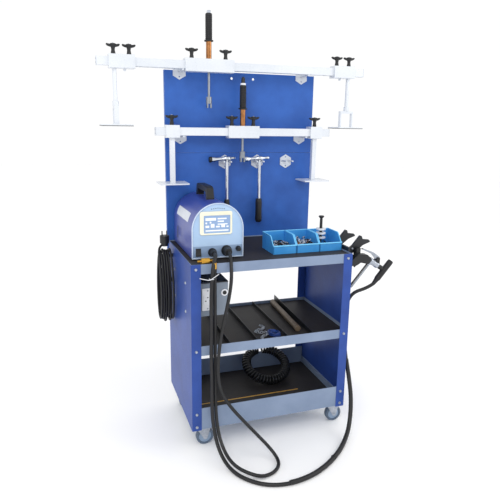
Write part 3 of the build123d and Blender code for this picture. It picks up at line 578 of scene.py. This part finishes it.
WELD_POINTS = [(-225, -166, 779), (-227, -196, 782), (-240, -222, 772), (-252, -240, 736),
               (-256, -240, 670), (-257, -238, 590), (-255, -237, 500), (-257, -237, 410),
               (-254, -238, 320), (-255, -238, 230), (-253, -243, 150), (-247, -263, 80),
               (-235, -305, 30), (-216, -364, 8), (-182, -428, 7.2), (-122, -480, 7.1),
               (-42, -500, 7.2), (50, -486, 7.1), (128, -450, 7.2), (200, -400, 7.2),
               (262, -342, 11), (306, -298, 34), (332, -264, 84), (345, -236, 150),
               (347, -206, 222), (343, -178, 300), (341, -158, 380), (341, -150, 455),
               (343, -153, 525), (364, -166, 578), (416.4, -185, 596.9),
               (445.0, -185, 612.9)]
weld_cable = cable_curve("welding_cable", WELD_POINTS, 14, cable_rubber)
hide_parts("weld_cable")
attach(weld_cable, "trolley")

GROUND_POINTS = [(-170, -166, 783), (-173, -200, 777), (-178, -224, 752), (-181, -240, 700),
                 (-190, -244, 640), (-205, -246, 570), (-222, -247, 490), (-232, -247, 410),
                 (-234, -247, 330), (-221, -248, 262), (-188, -252, 202), (-140, -264, 142),
                 (-88, -286, 82), (-48, -312, 38), (-28, -346, 12), (-34, -388, 6.8),
                 (-70, -424, 6.6), (-122, -440, 12), (-170, -417, 23), (-204, -371, 28),
                 (-222, -316, 42), (-233, -270, 84), (-238, -245, 140), (-239, -233, 215),
                 (-239, -230, 300), (-240, -229, 385), (-239, -229, 470), (-240, -229, 555),
                 (-240, -229, 640), (-241, -229, 700), (-240, -229, 742)]
ground_cable = cable_curve("earth_cable", GROUND_POINTS, 13, cable_rubber)
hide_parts("ground_cable")
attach(ground_cable, "trolley")
print("two cables")

# %% [markdown]
# ## Cable sleeve and ties
# A thicker corrugated sleeve protects the welding cable on the floor and up the post.  It is
# a pipe whose radius swells and shrinks in even waves along the cable's own line.  A tie is
# drawn tight round it, and another holds the two cables together below the tray.

# %% Sleeve and ties
weld_line = route_line(weld_cable)
SLEEVE_FROM_X, SLEEVE_TO_Z, SLEEVE_RADIUS = -40, 300, 8.9
inside = (weld_line[:, 0] > SLEEVE_FROM_X) & (weld_line[:, 2] < SLEEVE_TO_Z)
inside &= np.arange(len(weld_line)) > len(weld_line) * 0.4
sleeve_route = weld_line[inside]
along = distance_along(sleeve_route)
WAVE_STEP, WAVE_HEIGHT = 3.2, 0.5
even = np.arange(0, along[-1], WAVE_STEP)
sleeve_path = np.stack([np.interp(even, along, sleeve_route[:, i]) for i in range(3)], 1)
sleeve_path[:, 2] = np.maximum(sleeve_path[:, 2], 9.6)
sleeve_wave = SLEEVE_RADIUS + WAVE_HEIGHT * np.cos(np.arange(len(even)) * PI)
piece("welding_cable_sleeve", [tube(sleeve_path, sleeve_wave, 14)], cable_rubber, "trolley", 70)
piece("sleeve_tie", [ring_solid((178, -414, 10.7), (0.80, 0.60, 0), 9.6, 1.0)], black_plastic_and_hole_shade,
      "trolley", 60)
TIE = [(-302, -252, 717), (-286, -252, 712), (-269, -252, 707.6), (-264, -252, 708),
       (-248, -250, 716), (-230, -246, 726)]
piece("cable_tie", [tube(TIE, 1.4, 8), ring_solid((-256, -240, 708), (0, 0, 1), 8.2, 1.4)],
      nylon, "trolley", 60)
print("sleeve", round(along[-1]), "mm long")

# %% [markdown]
# ## Mains cord
# The mains cord is wound over a peg on the left side.  It is one cord: each turn lies one
# diameter beside the last, a bit longer or shorter than it, and the plug stands on top.

# %% Wound mains cord
HANK_TURNS, CORD, TURN_PITCH = 5.26, 9.4, 9.6
angle = np.arange(0, HANK_TURNS * 2 * PI, 2 * PI / 16)
turn = angle / (2 * PI)
sway = np.sin(turn * 2.4)
half_width = 62 + 5 * np.sin(turn * 3.7)
half_height = 150 + 7 * sway
middle = 590 - 3 * sway
hank = np.stack([-334.4 - TURN_PITCH * turn,
                 115 - half_width * np.sin(angle) * (1 + 0.10 * np.cos(angle)),
                 middle - half_height * np.cos(angle)], 1)
LEAD_IN = [(-343, 115, 590), (-343, 116, 568), (-341, 122, 543), (-338, 134, 510),
           (-334.4, 144, 476), (-334.2, 136, 452)]
LEAD_OUT = [(-386, 60, 650), (-386, 76, 694), (-386, 97, 731), (-380, 112, 752),
            (-370, 120, 757)]
HANK_POINTS = LEAD_IN + hank.tolist() + LEAD_OUT
mains_cord = cable_curve("mains_cord", HANK_POINTS, CORD, cable_rubber)
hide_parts("mains_hank")
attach(mains_cord, "trolley")
mains_length = distance_along(route_line(mains_cord))[-1] / 1000
piece("mains_cord_boot", [tube([(-330, 115, 611), (-338, 115, 610), (-343, 115, 604),
                                (-343.4, 115, 594), (-343, 115.6, 578)],
                               [9, 8.6, 8, 7, 5.6], 16)], rubber, "trolley")
print("mains cord", round(mains_length, 2), "m")

# %% [markdown]
# ## Air hose
# The air hose is a curly one: a hose wound in a tight helix, and the helix itself is bent in
# a ring that lies tilted on the bottom shelf.  Its line is a small circle carried round a
# large one, many turns for each time round.

# %% Curly air hose
HOSE_TURNS, POINTS_PER_TURN, HOSE_TUBE = 43, 12, 9.6
RING_RADIUS, HELIX_RADIUS = 92, 17.0
part = np.arange(0, HOSE_TURNS * POINTS_PER_TURN + 1) / (HOSE_TURNS * POINTS_PER_TURN)
around = np.radians(100 + 344 * part)
curl = part * HOSE_TURNS * 2 * PI
lean = math.radians(25)
out = np.stack([np.cos(around), np.sin(around) * math.cos(lean),
                np.sin(around) * math.sin(lean)], 1)
lift = np.array([0, -math.sin(lean), math.cos(lean)])
hose_middle = np.array([98, 112, 167.4])
hose_points = (hose_middle + RING_RADIUS * out
               + HELIX_RADIUS * (np.cos(curl)[:, None] * out + np.sin(curl)[:, None] * lift))
air_hose = cable_curve("air_hose", hose_points.tolist(), HOSE_TUBE, black_plastic_and_hole_shade, 4)
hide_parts("hose_coil")
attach(air_hose, "trolley")
hose_length = float(distance_along(route_line(air_hose))[-1]) / 1000
print("air hose", round(hose_length, 2), "m")


def hose_fitting(name, end, before):
    """A knurled swivel nut on a hose end, in line with the hose."""
    way = np.asarray(end) - np.asarray(before)
    return piece(name, [lathe(end, way, [(-6, 0), (-6, 6.4), (6, 6.4), (7, 7.4), (17, 7.4),
                                         (18, 5), (24, 5), (24, 0)], 20)], zinc, "trolley")


fittings = [hose_fitting("hose_fitting_start", hose_points[0], hose_points[2]),
            hose_fitting("hose_fitting_end", hose_points[-1], hose_points[-3])]

# %% [markdown]
# ## Wing knobs
# Each clamp knob is moulded in black plastic: a stem that narrows in the middle, and two
# wings that rise to their tips.  A metal stud shows in the middle of its top.

# %% Knobs
def wing_knob(x, y, z):
    """A turned stem, and wings that rise and grow thinner towards their tips."""
    stem = lathe((x, y, z), (0, 0, 1), [(0, 0), (0, 8.2), (4, 8.5), (16, 6.6), (26, 8.4),
                                        (30, 11), (36, 11.5), (38, 9), (38, 0)], 28)
    t = np.linspace(-1, 1, 17)
    ring = np.arange(16) * 2 * PI / 16
    wide = 7.0 - 2.2 * t ** 2
    tall = (5.6 - 1.2 * t ** 2) * np.minimum(1, 6 * (1.04 - np.abs(t))) ** 0.5
    grid = np.stack([np.broadcast_to((x + 25 * t)[:, None], (17, 16)),
                     y + wide[:, None] * np.cos(ring),
                     (z + 29.5 + 5.0 * t ** 2)[:, None] + tall[:, None] * np.sin(ring)], -1)
    return [stem, skin(grid)]


def stud(x, y, z):
    """The bright end of the clamp screw on a knob."""
    return lathe((x, y, z + 37), (0, 0, 1), [(0, 0), (0, 3.6), (2.4, 3.6), (3, 3), (3, 0)], 16)


PAIR_WIDTH, FROM_EDGE = 60, 25
KNOBS = {"upper_carriage_knobs": "upper_carriage", "lower_carriage_knobs": "lower_carriage",
         "upper_left_knobs": "upper_left_slider", "upper_right_knobs": "upper_right_slider",
         "lower_left_knob": "lower_left_knob", "lower_right_knob": "lower_right_knob"}
for node, body in KNOBS.items():
    low, high = node_box(node)
    y, z = (low[1] + high[1]) / 2, low[2]
    places = [(low[0] + high[0]) / 2]
    if high[0] - low[0] > PAIR_WIDTH:
        places = [low[0] + FROM_EDGE, high[0] - FROM_EDGE]
    shapes = [part for x in places for part in wing_knob(x, y, z)]
    wings = piece(node + "_wings", shapes, black_plastic_and_hole_shade, body, 50)
    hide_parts(node)
    piece(node + "_studs", [stud(x, y, z) for x in places], zinc, body)
print(len(KNOBS), "sets of knobs")

# %% [markdown]
# ## Puller grips
# The grips that turn the pull screws are ribbed rubber, so that a greasy hand can turn them.
# The ribs are rings: the profile of the turned shape goes in and out at even steps.

# %% Grips
def ribbed(start, length, radius, groove, count):
    """Profile of a rubber sleeve: each rib rises and falls in a quarter of its own step."""
    step = length / count
    rows = []
    for i in range(count):
        base = start + i * step
        rows += [(base, radius - groove), (base + step * 0.2, radius),
                 (base + step * 0.75, radius), (base + step * 0.95, radius - groove)]
    return rows


for place, top in (("upper", 104), ("lower", 97)):
    low, high = node_box(f"{place}_puller_grip")
    foot = ((low[0] + high[0]) / 2, (low[1] + high[1]) / 2, low[2])
    profile = [(0, 0), (0, 17), (1, 18), (5, 18), (6, 14)]
    profile += ribbed(8, top - 12, 13.6, 1.1, 13) + [(top - 2, 12.4), (top, 9), (top, 0)]
    sleeve = piece(f"{place}_grip_rubber", [lathe(foot, (0, 0, 1), profile, 36)], rubber,
                   f"{place}_grip", 30)
    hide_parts(f"{place}_puller_grip")
    reach = high[2] - low[2]
    if place == "upper":
        piece("upper_grip_nut", [lathe(foot, (0, 0, 1), [(103, 0), (103, 8), (reach - 2, 8),
                                                         (reach, 6.4), (reach, 0)], 6)],
              zinc, "upper_grip", 20)
    else:
        piece("lower_grip_collar", [lathe(foot, (0, 0, 1), [(96, 0), (96, 11), (103, 11),
                                                            (104, 9), (104, 0)], 24)],
              nylon, "lower_grip")
        piece("lower_grip_tip", [lathe(foot, (0, 0, 1), [(103, 0), (103, 8), (reach - 6, 7.4),
                                                         (reach, 4), (reach, 0)], 24)],
              black_plastic_and_hole_shade, "lower_grip")
print("two grips")

# %% [markdown]
# ## Panel hammers
# A panel hammer has a polished head with a wide face, a slim pick side, and a shaft that
# swells in the grip.  Every part is turned: only the profile differs.

# %% Hammers
HEAD_Y, HEAD_Z = 184.0, 1100.8


def hammer(name, x, tilt, head, cap, grip_radius):
    """Head, shaft and grip as turned parts about the middle of the head."""
    middle = np.array([x, HEAD_Y, HEAD_Z])
    way = np.array([math.cos(tilt), 0.0, math.sin(tilt)])
    metal = [lathe(middle, way, head, 32),
             lathe(middle, (0, 0, -1), [(0, 0), (0, 7.5), (40, 7.2), (120, 6.6), (178, 7.4),
                                        (178, 0)], 24)]
    steel_part = piece(name + "_steel", metal, chrome, name)
    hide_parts(name)
    grip = [(173, 0), (173, 8.6), (177, grip_radius - 2.4), (190, grip_radius - 0.6),
            (225, grip_radius - 1.4), (262, grip_radius), (272, grip_radius - 0.8),
            (278, grip_radius - 5), (278, 0)]
    piece(name + "_grip", [lathe(middle, (0, 0, -1), grip, 28)], rubber, name)
    if cap:
        piece(name + "_cap", [lathe(middle, way, cap, 28)], black_plastic_and_hole_shade, name)


hammer("left_hammer", -74, 0.06,
       [(-68, 0), (-68, 11.4), (-56, 11.4), (-46, 8), (-14, 6.8), (-10, 9.6), (10, 9.6),
        (14, 6.6), (24, 5.4), (30, 5.6), (36, 3.4), (36, 0)],
       [(-78, 0), (-78, 10.4), (-76, 12), (-67, 12), (-67, 0)], 13.0)
hammer("right_hammer", 72, 0.05,
       [(-67, 0), (-67, 11.6), (-66, 12), (-56, 12), (-54, 11), (-42, 7), (-14, 6.8),
        (-10, 9.6), (10, 9.6), (14, 6.4), (32, 5.2), (35, 6.6), (40, 7), (43, 5.4), (44, 0)],
       None, 15.0)
print("two hammers")

# %% [markdown]
# ## Castor wheels
# A castor wheel has a soft polyurethane disc with a rounded dark tread and a bright hub.
# Each is a turned profile about the axle, the same on both faces.

# %% Wheels
WHEELS = ("front_left_wheel", "front_right_wheel", "rear_left_wheel", "rear_right_wheel")
# Half of each turned part, as (depth in from the wheel's face, radius); the rest mirrors it.
WHEEL_PARTS = {
    "tread": (tyre_grey, 56, [(3.8, 0), (3.6, 25), (0, 26), (0, 31), (2, 34), (4, 35)]),
    "disc": (wheel_tread, 56, [(2.6, 0), (2.6, 24), (3.4, 25.4)]),
    "hub": (chrome, 28, [(-0.6, 0), (-0.6, 7), (0, 8.4), (2.8, 9)]),
}
for name in WHEELS:
    low, high = node_box(name)
    middle, size = (low + high) / 2, high - low
    axis = int(np.argmin(size))
    half = size[axis] / 2
    for part, (material, around, rows) in WHEEL_PARTS.items():
        profile = [(depth - half, radius) for depth, radius in rows]
        profile += [(-at, radius) for at, radius in profile[::-1]]
        shape = piece(f"{name}_{part}", [lathe(middle, np.eye(3)[axis], profile, around)],
                      material, name, 35)
        if part == "tread":
            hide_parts(name)
print(len(WHEELS), "wheels")

# %% [markdown]
# ## Welder front
# A moulded bezel runs round the whole front of the welding machine and hides the case edge.
# It is one small rounded profile, carried round the arch at a growing inset.

# %% Bezel and display
WELDER_X, WELDER_HALF, SHOULDER, FOOT = -203.0, 98.2, 864.0, 757.0


def arch_loop(half, base):
    """The welder's outline: straight sides up to the shoulder, then a half circle."""
    angles = np.linspace(0, PI, 40)
    top = np.stack([WELDER_X + half * np.cos(angles), SHOULDER + half * np.sin(angles)], 1)
    return np.vstack([[WELDER_X + half, base], top, [WELDER_X - half, base]])


def moulding(loops, depths):
    """A closed moulding: each loop of the (x, z) plane stands at its own depth y."""
    grid = np.stack([np.insert(loop, 1, y, axis=1) for loop, y in zip(loops, depths)], 1)
    return grid.reshape(-1, 3), grid_faces(*grid.shape[:2], closed=True)


BEZEL = [(-1.0, -133.0), (-1.2, -137.0), (-0.4, -138.6), (1.0, -139.0), (2.6, -138.4),
         (3.4, -137.0), (3.4, -133.4)]
bezel = moulding([arch_loop(WELDER_HALF - inset, FOOT + max(inset, 0)) for inset, _ in BEZEL],
                 [y for _, y in BEZEL])
# The bezel's lighter colour is a painted highlight.
piece("welder_bezel", [bezel], bezel_blue_and_highlight, "trolley", 50)
face_y = node_box("welder_front")[0][1]
DISPLAY = (-210.0, 889.0)
SCREEN = (-206.5, 884.5)
frame_rows = [(DISPLAY, (61.5, 43.5), 8, 1.0), (DISPLAY, (61.5, 43.5), 8, -1.6),
              (DISPLAY, (60, 42), 7, -2.8), (SCREEN, (52.5, 35), 4, -2.8),
              (SCREEN, (50.6, 33), 3, -1.4), (SCREEN, (50.6, 33), 3, 1.0)]
surround = moulding([rounded_outline(middle, half, radius)
                     for middle, half, radius, _ in frame_rows],
                    [face_y + depth for _, _, _, depth in frame_rows])
piece("display_surround", [surround], cream_plastic, "trolley", 35)
glass = prism(rounded_outline(SCREEN, (51, 33.4), 3), face_y - 0.7, face_y + 0.8, 1)
piece("display_glass", [glass], screen_glass, "trolley")
MARKS = [(-44, -4, 14, 24), (2, 36, 18, 23), (2, 26, 8, 13), (2, 40, -2, 2), (-44, -30, -12, -4),
         (-24, -10, -12, 2), (-4, 10, -12, -6), (16, 30, -12, -2), (36, 44, -12, -7),
         (-44, 44, -26, -21), (-44, -38, 2, 8), (-28, -22, 4, 10)]
marks = [box((SCREEN[0] + x0, face_y - 1.0, SCREEN[1] + z0),
             (SCREEN[0] + x1, face_y - 0.6, SCREEN[1] + z1)) for x0, x1, z0, z1 in MARKS]
piece("display_marks", marks, screen_ink, "trolley")
# Black discs stand for the vent holes: painted shade inside the holes.
vents = [cylinder((WELDER_X + dx, -134.6, 944 - abs(dx) * 0.12), (0, 1, 0), -0.4, 0.8, 1.7, 12)
         for dx in range(-24, 25, 8)]
piece("welder_vent_shade", vents, black_plastic_and_hole_shade, "trolley")
print("welder front, face at y", round(face_y, 1))

# %% [markdown]
# ## Welder side and handle
# A blank plate sits on the left shoulder, a dark slot below it, and the strap handle stands
# on two round bosses.  The slot is a flat black patch on the case side, painted shade.

# %% Plate, slot and bosses
band = np.radians(np.linspace(148, 169, 12))
plate_outline = np.vstack([np.stack([WELDER_X + r * np.cos(a), SHOULDER + r * np.sin(a)], 1)
                           for r, a in ((WELDER_HALF, band), (WELDER_HALF + 1.2, band[::-1]))])
piece("shoulder_plate", [prism(plate_outline, -62, 140, 1)], white_coat, "trolley")
# The slot is not cut: a thin black patch on the case side is its painted shade.
side_slot_shade = prism(rounded_outline((123, 810), (4, 24), 3.9), -302.0, -300.0, 0)
piece("side_slot_shade", [side_slot_shade], black_plastic_and_hole_shade, "trolley")
handle_low, handle_high = node_box("welder_handle")
bosses = [lathe((WELDER_X, y, 958), (0, 0, 1), [(0, 0), (0, 17), (5, 16), (8, 12), (8, 0)], 28)
          for y in (handle_low[1] + 12, handle_high[1] - 12)]
piece("handle_bosses", bosses, black_plastic_and_hole_shade, "trolley")
print("handle from y", round(handle_low[1]), "to", round(handle_high[1]))

# %% [markdown]
# ## Power box front
# The outlet plate has three round holes and two screws, and the round outlet a dark middle.  The
# holes and the dark middle are black discs on the plate: painted shade.

# %% Outlet holes
# These black discs are not cut holes: they are the painted shade inside the holes.
holes = [cylinder((x, -168.6, z), (0, 1, 0), 0.2, 3.4, 2.5)
         for x, z in ((-259, 601), (-243, 601), (-251, 615))]
holes.append(cylinder((-185, -167.2, 628), (0, 1, 0), 0.4, 2.4, 7.8, 24))
piece("outlet_hole_shade", holes, black_plastic_and_hole_shade, "trolley")
screws = [lathe((x, -168.2, z), (0, 1, 0), [(-0.8, 0), (-0.6, 2.6), (0.6, 3.2), (0.6, 0)], 16)
          for x, z in ((-251, 641), (-251, 571))]
piece("outlet_screws", screws, zinc, "trolley")
print(len(holes), "holes")

# %% [markdown]
# ## Parts bins
# Each bin is a thin-walled moulding with a low front, curved side rims and ribs on its left
# side.  The walls are flat outlines with a thickness, and the rims are round beads, painted
# lighter than the walls as a painted highlight.

# %% Bins
BIN_XS, BIN_HALF, BIN_BACK, BIN_FRONT = (70, 170, 270), 48.6, -8.0, -133.0
BIN_LOW, BIN_TOP, BIN_LIP = 752.2, 819.0, 784.0


def side_edge():
    """Top edge of a bin's side in (y, z): level, then a smooth fall to the low front."""
    t = np.linspace(0, 1, 9)
    fall_y = -92 - 41 * t
    fall_z = BIN_TOP - (BIN_TOP - BIN_LIP) * (t ** 2 * (3 - 2 * t))
    return np.vstack([[BIN_BACK, BIN_TOP], np.stack([fall_y, fall_z], 1)])


edge = side_edge()
side_wall = np.vstack([edge, [[BIN_FRONT, BIN_LOW], [BIN_BACK, BIN_LOW]]])
shells, rims = [], []
for x in BIN_XS:
    left, right = x - BIN_HALF, x + BIN_HALF
    shells += [prism(side_wall, left, left + 2.2, 0), prism(side_wall, right - 2.2, right, 0),
               box((left + 1, BIN_BACK - 2.2, BIN_LOW), (right - 1, BIN_BACK, BIN_TOP)),
               box((left + 1, BIN_FRONT, BIN_LOW), (right - 1, BIN_FRONT + 2.4, BIN_LIP)),
               box((left + 1, BIN_FRONT + 1, BIN_LOW), (right - 1, BIN_BACK - 1, BIN_LOW + 2.2))]
    shells += [box((left - 0.9, y, BIN_LOW + 3), (left + 0.4, y + 3.4, BIN_TOP - 5))
               for y in range(-84, -14, 12)]
    rims += [tube(np.insert(edge, 0, at, axis=1), 2.1, 10) for at in (left + 1.1, right - 1.1)]
    for y, bow, z, radius in ((BIN_FRONT + 1, -0.2, BIN_LIP, 3.2), (BIN_BACK - 1, 0, BIN_TOP, 2.0)):
        rims.append(tube([(left, y, z), (x, y + bow, z), (right, y, z)], radius, 10))
bins = piece("bin_shells", shells, bin_plastic, "trolley")
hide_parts("parts_bins")
# The rims get the lighter rim colour, a painted highlight.
piece("bin_rims", rims, bin_rim_highlight, "trolley", 60)
print(len(BIN_XS), "bins")

# %% [markdown]
# ## What the bins hold
# Draw rings, washers and studs lie in loose heaps.  Each has its own place and tilt, drawn
# from a seeded list so that the heaps are the same every time.

# %% Rings, washers and studs
rng = np.random.default_rng(7)
heaps = {"dark_rings": (oiled_steel, []), "bright_washers": (zinc, []),
         "copper_washers": (copper, [])}
FILL = dict(zip(BIN_XS, ((54, 34), (60, 38), (14, 10))))  # how many, and how high
for x, (count, height) in FILL.items():
    for i in range(count):
        spot = (x + rng.uniform(-37, 37), rng.uniform(-119, -22),
                758 + height * rng.uniform(0.05, 1) * (0.6 + 0.4 * rng.uniform()))
        tilt = rng.normal(0, 0.55, 3) + (0, 0, 1)
        kind = ("dark_rings", "bright_washers", "bright_washers", "copper_washers")[i % 4]
        major, minor = (9.5, 2.2) if kind == "dark_rings" else (7.5, 1.7)
        heaps[kind][1].append(ring_solid(spot, tilt, major, minor, 20, 8))
        if i % 5 == 0:
            heaps["bright_washers"][1].append(lathe(spot, rng.normal(0, 1, 3) * (1, 1, 0.4),
                                                    [(-12, 0), (-12, 2), (10, 2), (10, 4),
                                                     (12, 4), (12, 0)], 10))
for name, (material, shapes) in heaps.items():
    piece(name, shapes, material, "trolley", 50)
print({name: len(shapes) for name, (_, shapes) in heaps.items()})

# %% [markdown]
# ## Disc electrode
# A black-handled tool with three bright discs stands in the right bin.

# %% Disc tool
TOOL = (258, -60, 756)
piece("disc_tool_handle", [lathe(TOOL, (0, 0, 1), [(2, 0), (2, 5), (76, 6), (118, 5.4), (121, 10),
                                                   (124, 11.4), (127, 11), (128, 9), (128, 0)],
                                 28)], black_plastic_and_hole_shade, "trolley")
discs = [lathe((TOOL[0], TOOL[1], z), (0, 0, 1), [(0, 0), (0, 19), (1, 20.5), (6, 20.5),
                                                  (7, 19), (7, 0)], 36) for z in (790, 808, 825)]
piece("disc_tool_discs", discs, silver, "trolley")
print("disc tool")

# %% [markdown]
# ## Loose things on the middle shelf
# A brown steel bar lies between the dividers, and a short chain with a blue coil of lead lies
# at the front.

# %% Bar, chain and small coil
bar_low, bar_high = np.array([128, -155, 441.4]), np.array([150, 184, 441.4])
piece("pull_bar", [lathe(bar_low, bar_high - bar_low, [(0, 0), (0, 11.5), (1, 12.4), (338, 12.4),
                                                       (339.7, 11.5), (339.7, 0)], 28)],
      bar_steel, "trolley")
CHAIN = np.array([(0, -62), (10, -82), (-4, -98), (-26, -104), (-44, -118), (-30, -134),
                  (-8, -132), (4, -146), (-10, -162), (-32, -172), (-38, -186)], float)
spread = np.linspace(0, len(CHAIN) - 1, 25)
links = []
for i, s in enumerate(spread):
    base = min(int(s), len(CHAIN) - 2)
    at = CHAIN[base] + (CHAIN[base + 1] - CHAIN[base]) * (s - base)
    way = CHAIN[base + 1] - CHAIN[base]
    normal = (-way[1], way[0], 0) if i % 2 else (0, 0, 1)
    links.append(ring_solid((at[0], at[1], 434.5), normal, 4.6, 1.5, 16, 8, 1.3))
piece("short_chain", links, zinc, "trolley", 60)
blue_lead = finish_material("blue cable jacket", "#17408C", "#0F3072", 1.0, (0.35, 0.5),
                            depth_mm=0.04, patch_mm=30)
coil = [ring_solid((24 + dx, -158 + dy, 432.5 + dz), (0.1, 0.05, 1), major, 2.2, 40, 10, 1.15)
        for dx, dy, dz, major in ((0, 0, 0, 24), (1, 1, 4.2, 22), (-1, 2, 8.2, 23.4),
                                  (0, 0, 1, 17), (1, 0, 5.2, 15))]
piece("blue_lead_coil", coil, blue_lead, "trolley", 60)
print("shelf things")

# %% [markdown]
# ## Pulling gun details
# The barrel is a bright sleeve over the black body and ends in a black collar, the grip is
# ribbed rubber, and two rods run down beside the post.

# %% Gun barrel, rods and grip ribs
barrel_at, barrel_to = np.array([398, -185, 730.0]), np.array([484, -185, 674.0])
barrel_way = (barrel_to - barrel_at) / np.linalg.norm(barrel_to - barrel_at)
piece("gun_barrel", [lathe(barrel_at, barrel_way, [(22, 0), (22, 12.3), (24, 12.8), (42, 12.8),
                                                   (44, 12.4), (60, 12.4), (61, 13.2),
                                                   (71, 13.2), (73, 11), (80, 7.6), (80, 0)],
                           36)], zinc, "trolley")
piece("gun_collar", [lathe(barrel_at, barrel_way, [(80, 0), (80, 8.4), (84, 9.6), (97, 9.6),
                                                   (97, 0)], 28)], black_plastic_and_hole_shade, "trolley")
grip_way = np.array([0.638, 0, 0.770])
grip_foot = np.array([461.6, -185, 632.9])
grip_profile = [(-26, 0), (-26, 7.4), (-2, 10.4), (0, 11.6)] + ribbed(2, 84, 12.6, 0.8, 14)
grip_profile += [(89, 12.2), (94, 10.6), (95, 0)]
gun_grip = piece("gun_grip_rubber", [lathe(grip_foot, grip_way, grip_profile, 32)], rubber,
                 "trolley", 30)
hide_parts("gun_grip")
rod_low, rod_high = np.array([339, -185, 609.0]), np.array([418, -185, 704.0])
rod_way = rod_high - rod_low
rod_long = float(np.linalg.norm(rod_way))
piece("gun_rod_black", [cylinder(rod_low + (-4, 0, 2), rod_way, 0, rod_long, 3.6, 20)],
      black_sheen, "trolley")
piece("gun_rod_steel", [cylinder(rod_low + (4, 0, -2), rod_way, 0, rod_long, 3.2, 20)],
      steel, "trolley")
piece("gun_rod_link", [box((409, -191, 696), (427, -179, 712))], zinc, "trolley", round_mm=2)
piece("short_rod", [cylinder((350, -185, 692), (30, 0, 26), 0, 42, 3)], black_sheen, "trolley")
print("gun dressed")

# %% [markdown]
# ## Holder hooks
# The gun rests in black hooks, and one bright bolt holds each.

# %% Hook bolts
holder_low, holder_high = node_box("gun_holder")
print("holder box", holder_low.round(), holder_high.round())
bolts = [lathe((352, y, 762), (0, -1, 0), [(0, 0), (0, 5), (3, 5), (4, 3.6), (4, 0)], 6)
         for y in (-161.4, -41.4)]
piece("hook_bolts", bolts, zinc, "trolley", 20)

# %% [markdown]
# ## Beam caps and foot pads
# The beams are closed by small caps with two screws.  The feet stand on thin dark pads.

# %% Caps and pads
for place in ("upper", "lower"):
    low, high = node_box(f"{place}_beam")
    caps, screws = [], []
    for x, way in ((low[0], -1), (high[0], 1)):
        inner, outer = sorted((x, x + way * 2.4))
        caps.append(box((inner, low[1] - 0.6, low[2] - 0.6), (outer, high[1] + 0.6, high[2] + 0.6)))
        screws += [lathe((x + way * 2.4, (low[1] + high[1]) / 2, z), (way, 0, 0),
                         [(-0.5, 0), (-0.5, 4), (1, 3.4), (1.6, 0)], 16)
                   for z in (low[2] + 9, high[2] - 9)]
    piece(f"{place}_beam_caps", caps, white_coat, f"{place}_beam", round_mm=0.8)
    piece(f"{place}_cap_screws", screws, zinc, f"{place}_beam")
for side in ("left", "right"):
    low, high = node_box(f"upper_{side}_foot")
    x, y = (low[0] + high[0]) / 2, (low[1] + high[1]) / 2
    pad = prism(rounded_outline((x, y), (60, 53), 5), low[2] - 1.6, low[2] + 0.6, 2)
    piece(f"upper_{side}_foot_pad", [pad], rubber, f"upper_{side}_foot", 30)
print("caps and pads")

# %% [markdown]
# ## Stripe on the lower mat
# A thin plain stripe of yellow tape runs along the lower mat.

# %% Stripe
mat_low, mat_high = node_box("shelf_mats")
BOTTOM_MAT_TOP = 106.0
yellow_tape = finish_material("yellow tape", "#D8A43A", "#C8952E", 1.2, (0.4, 0.55),
                              depth_mm=0.02, patch_mm=30)
stripe = box((-300, -46, BOTTOM_MAT_TOP - 0.3), (190, -40, BOTTOM_MAT_TOP + 0.35))
piece("mat_stripe", [stripe], yellow_tape, "trolley")
print("mats from z", round(mat_low[2]), "to", round(mat_high[2]))
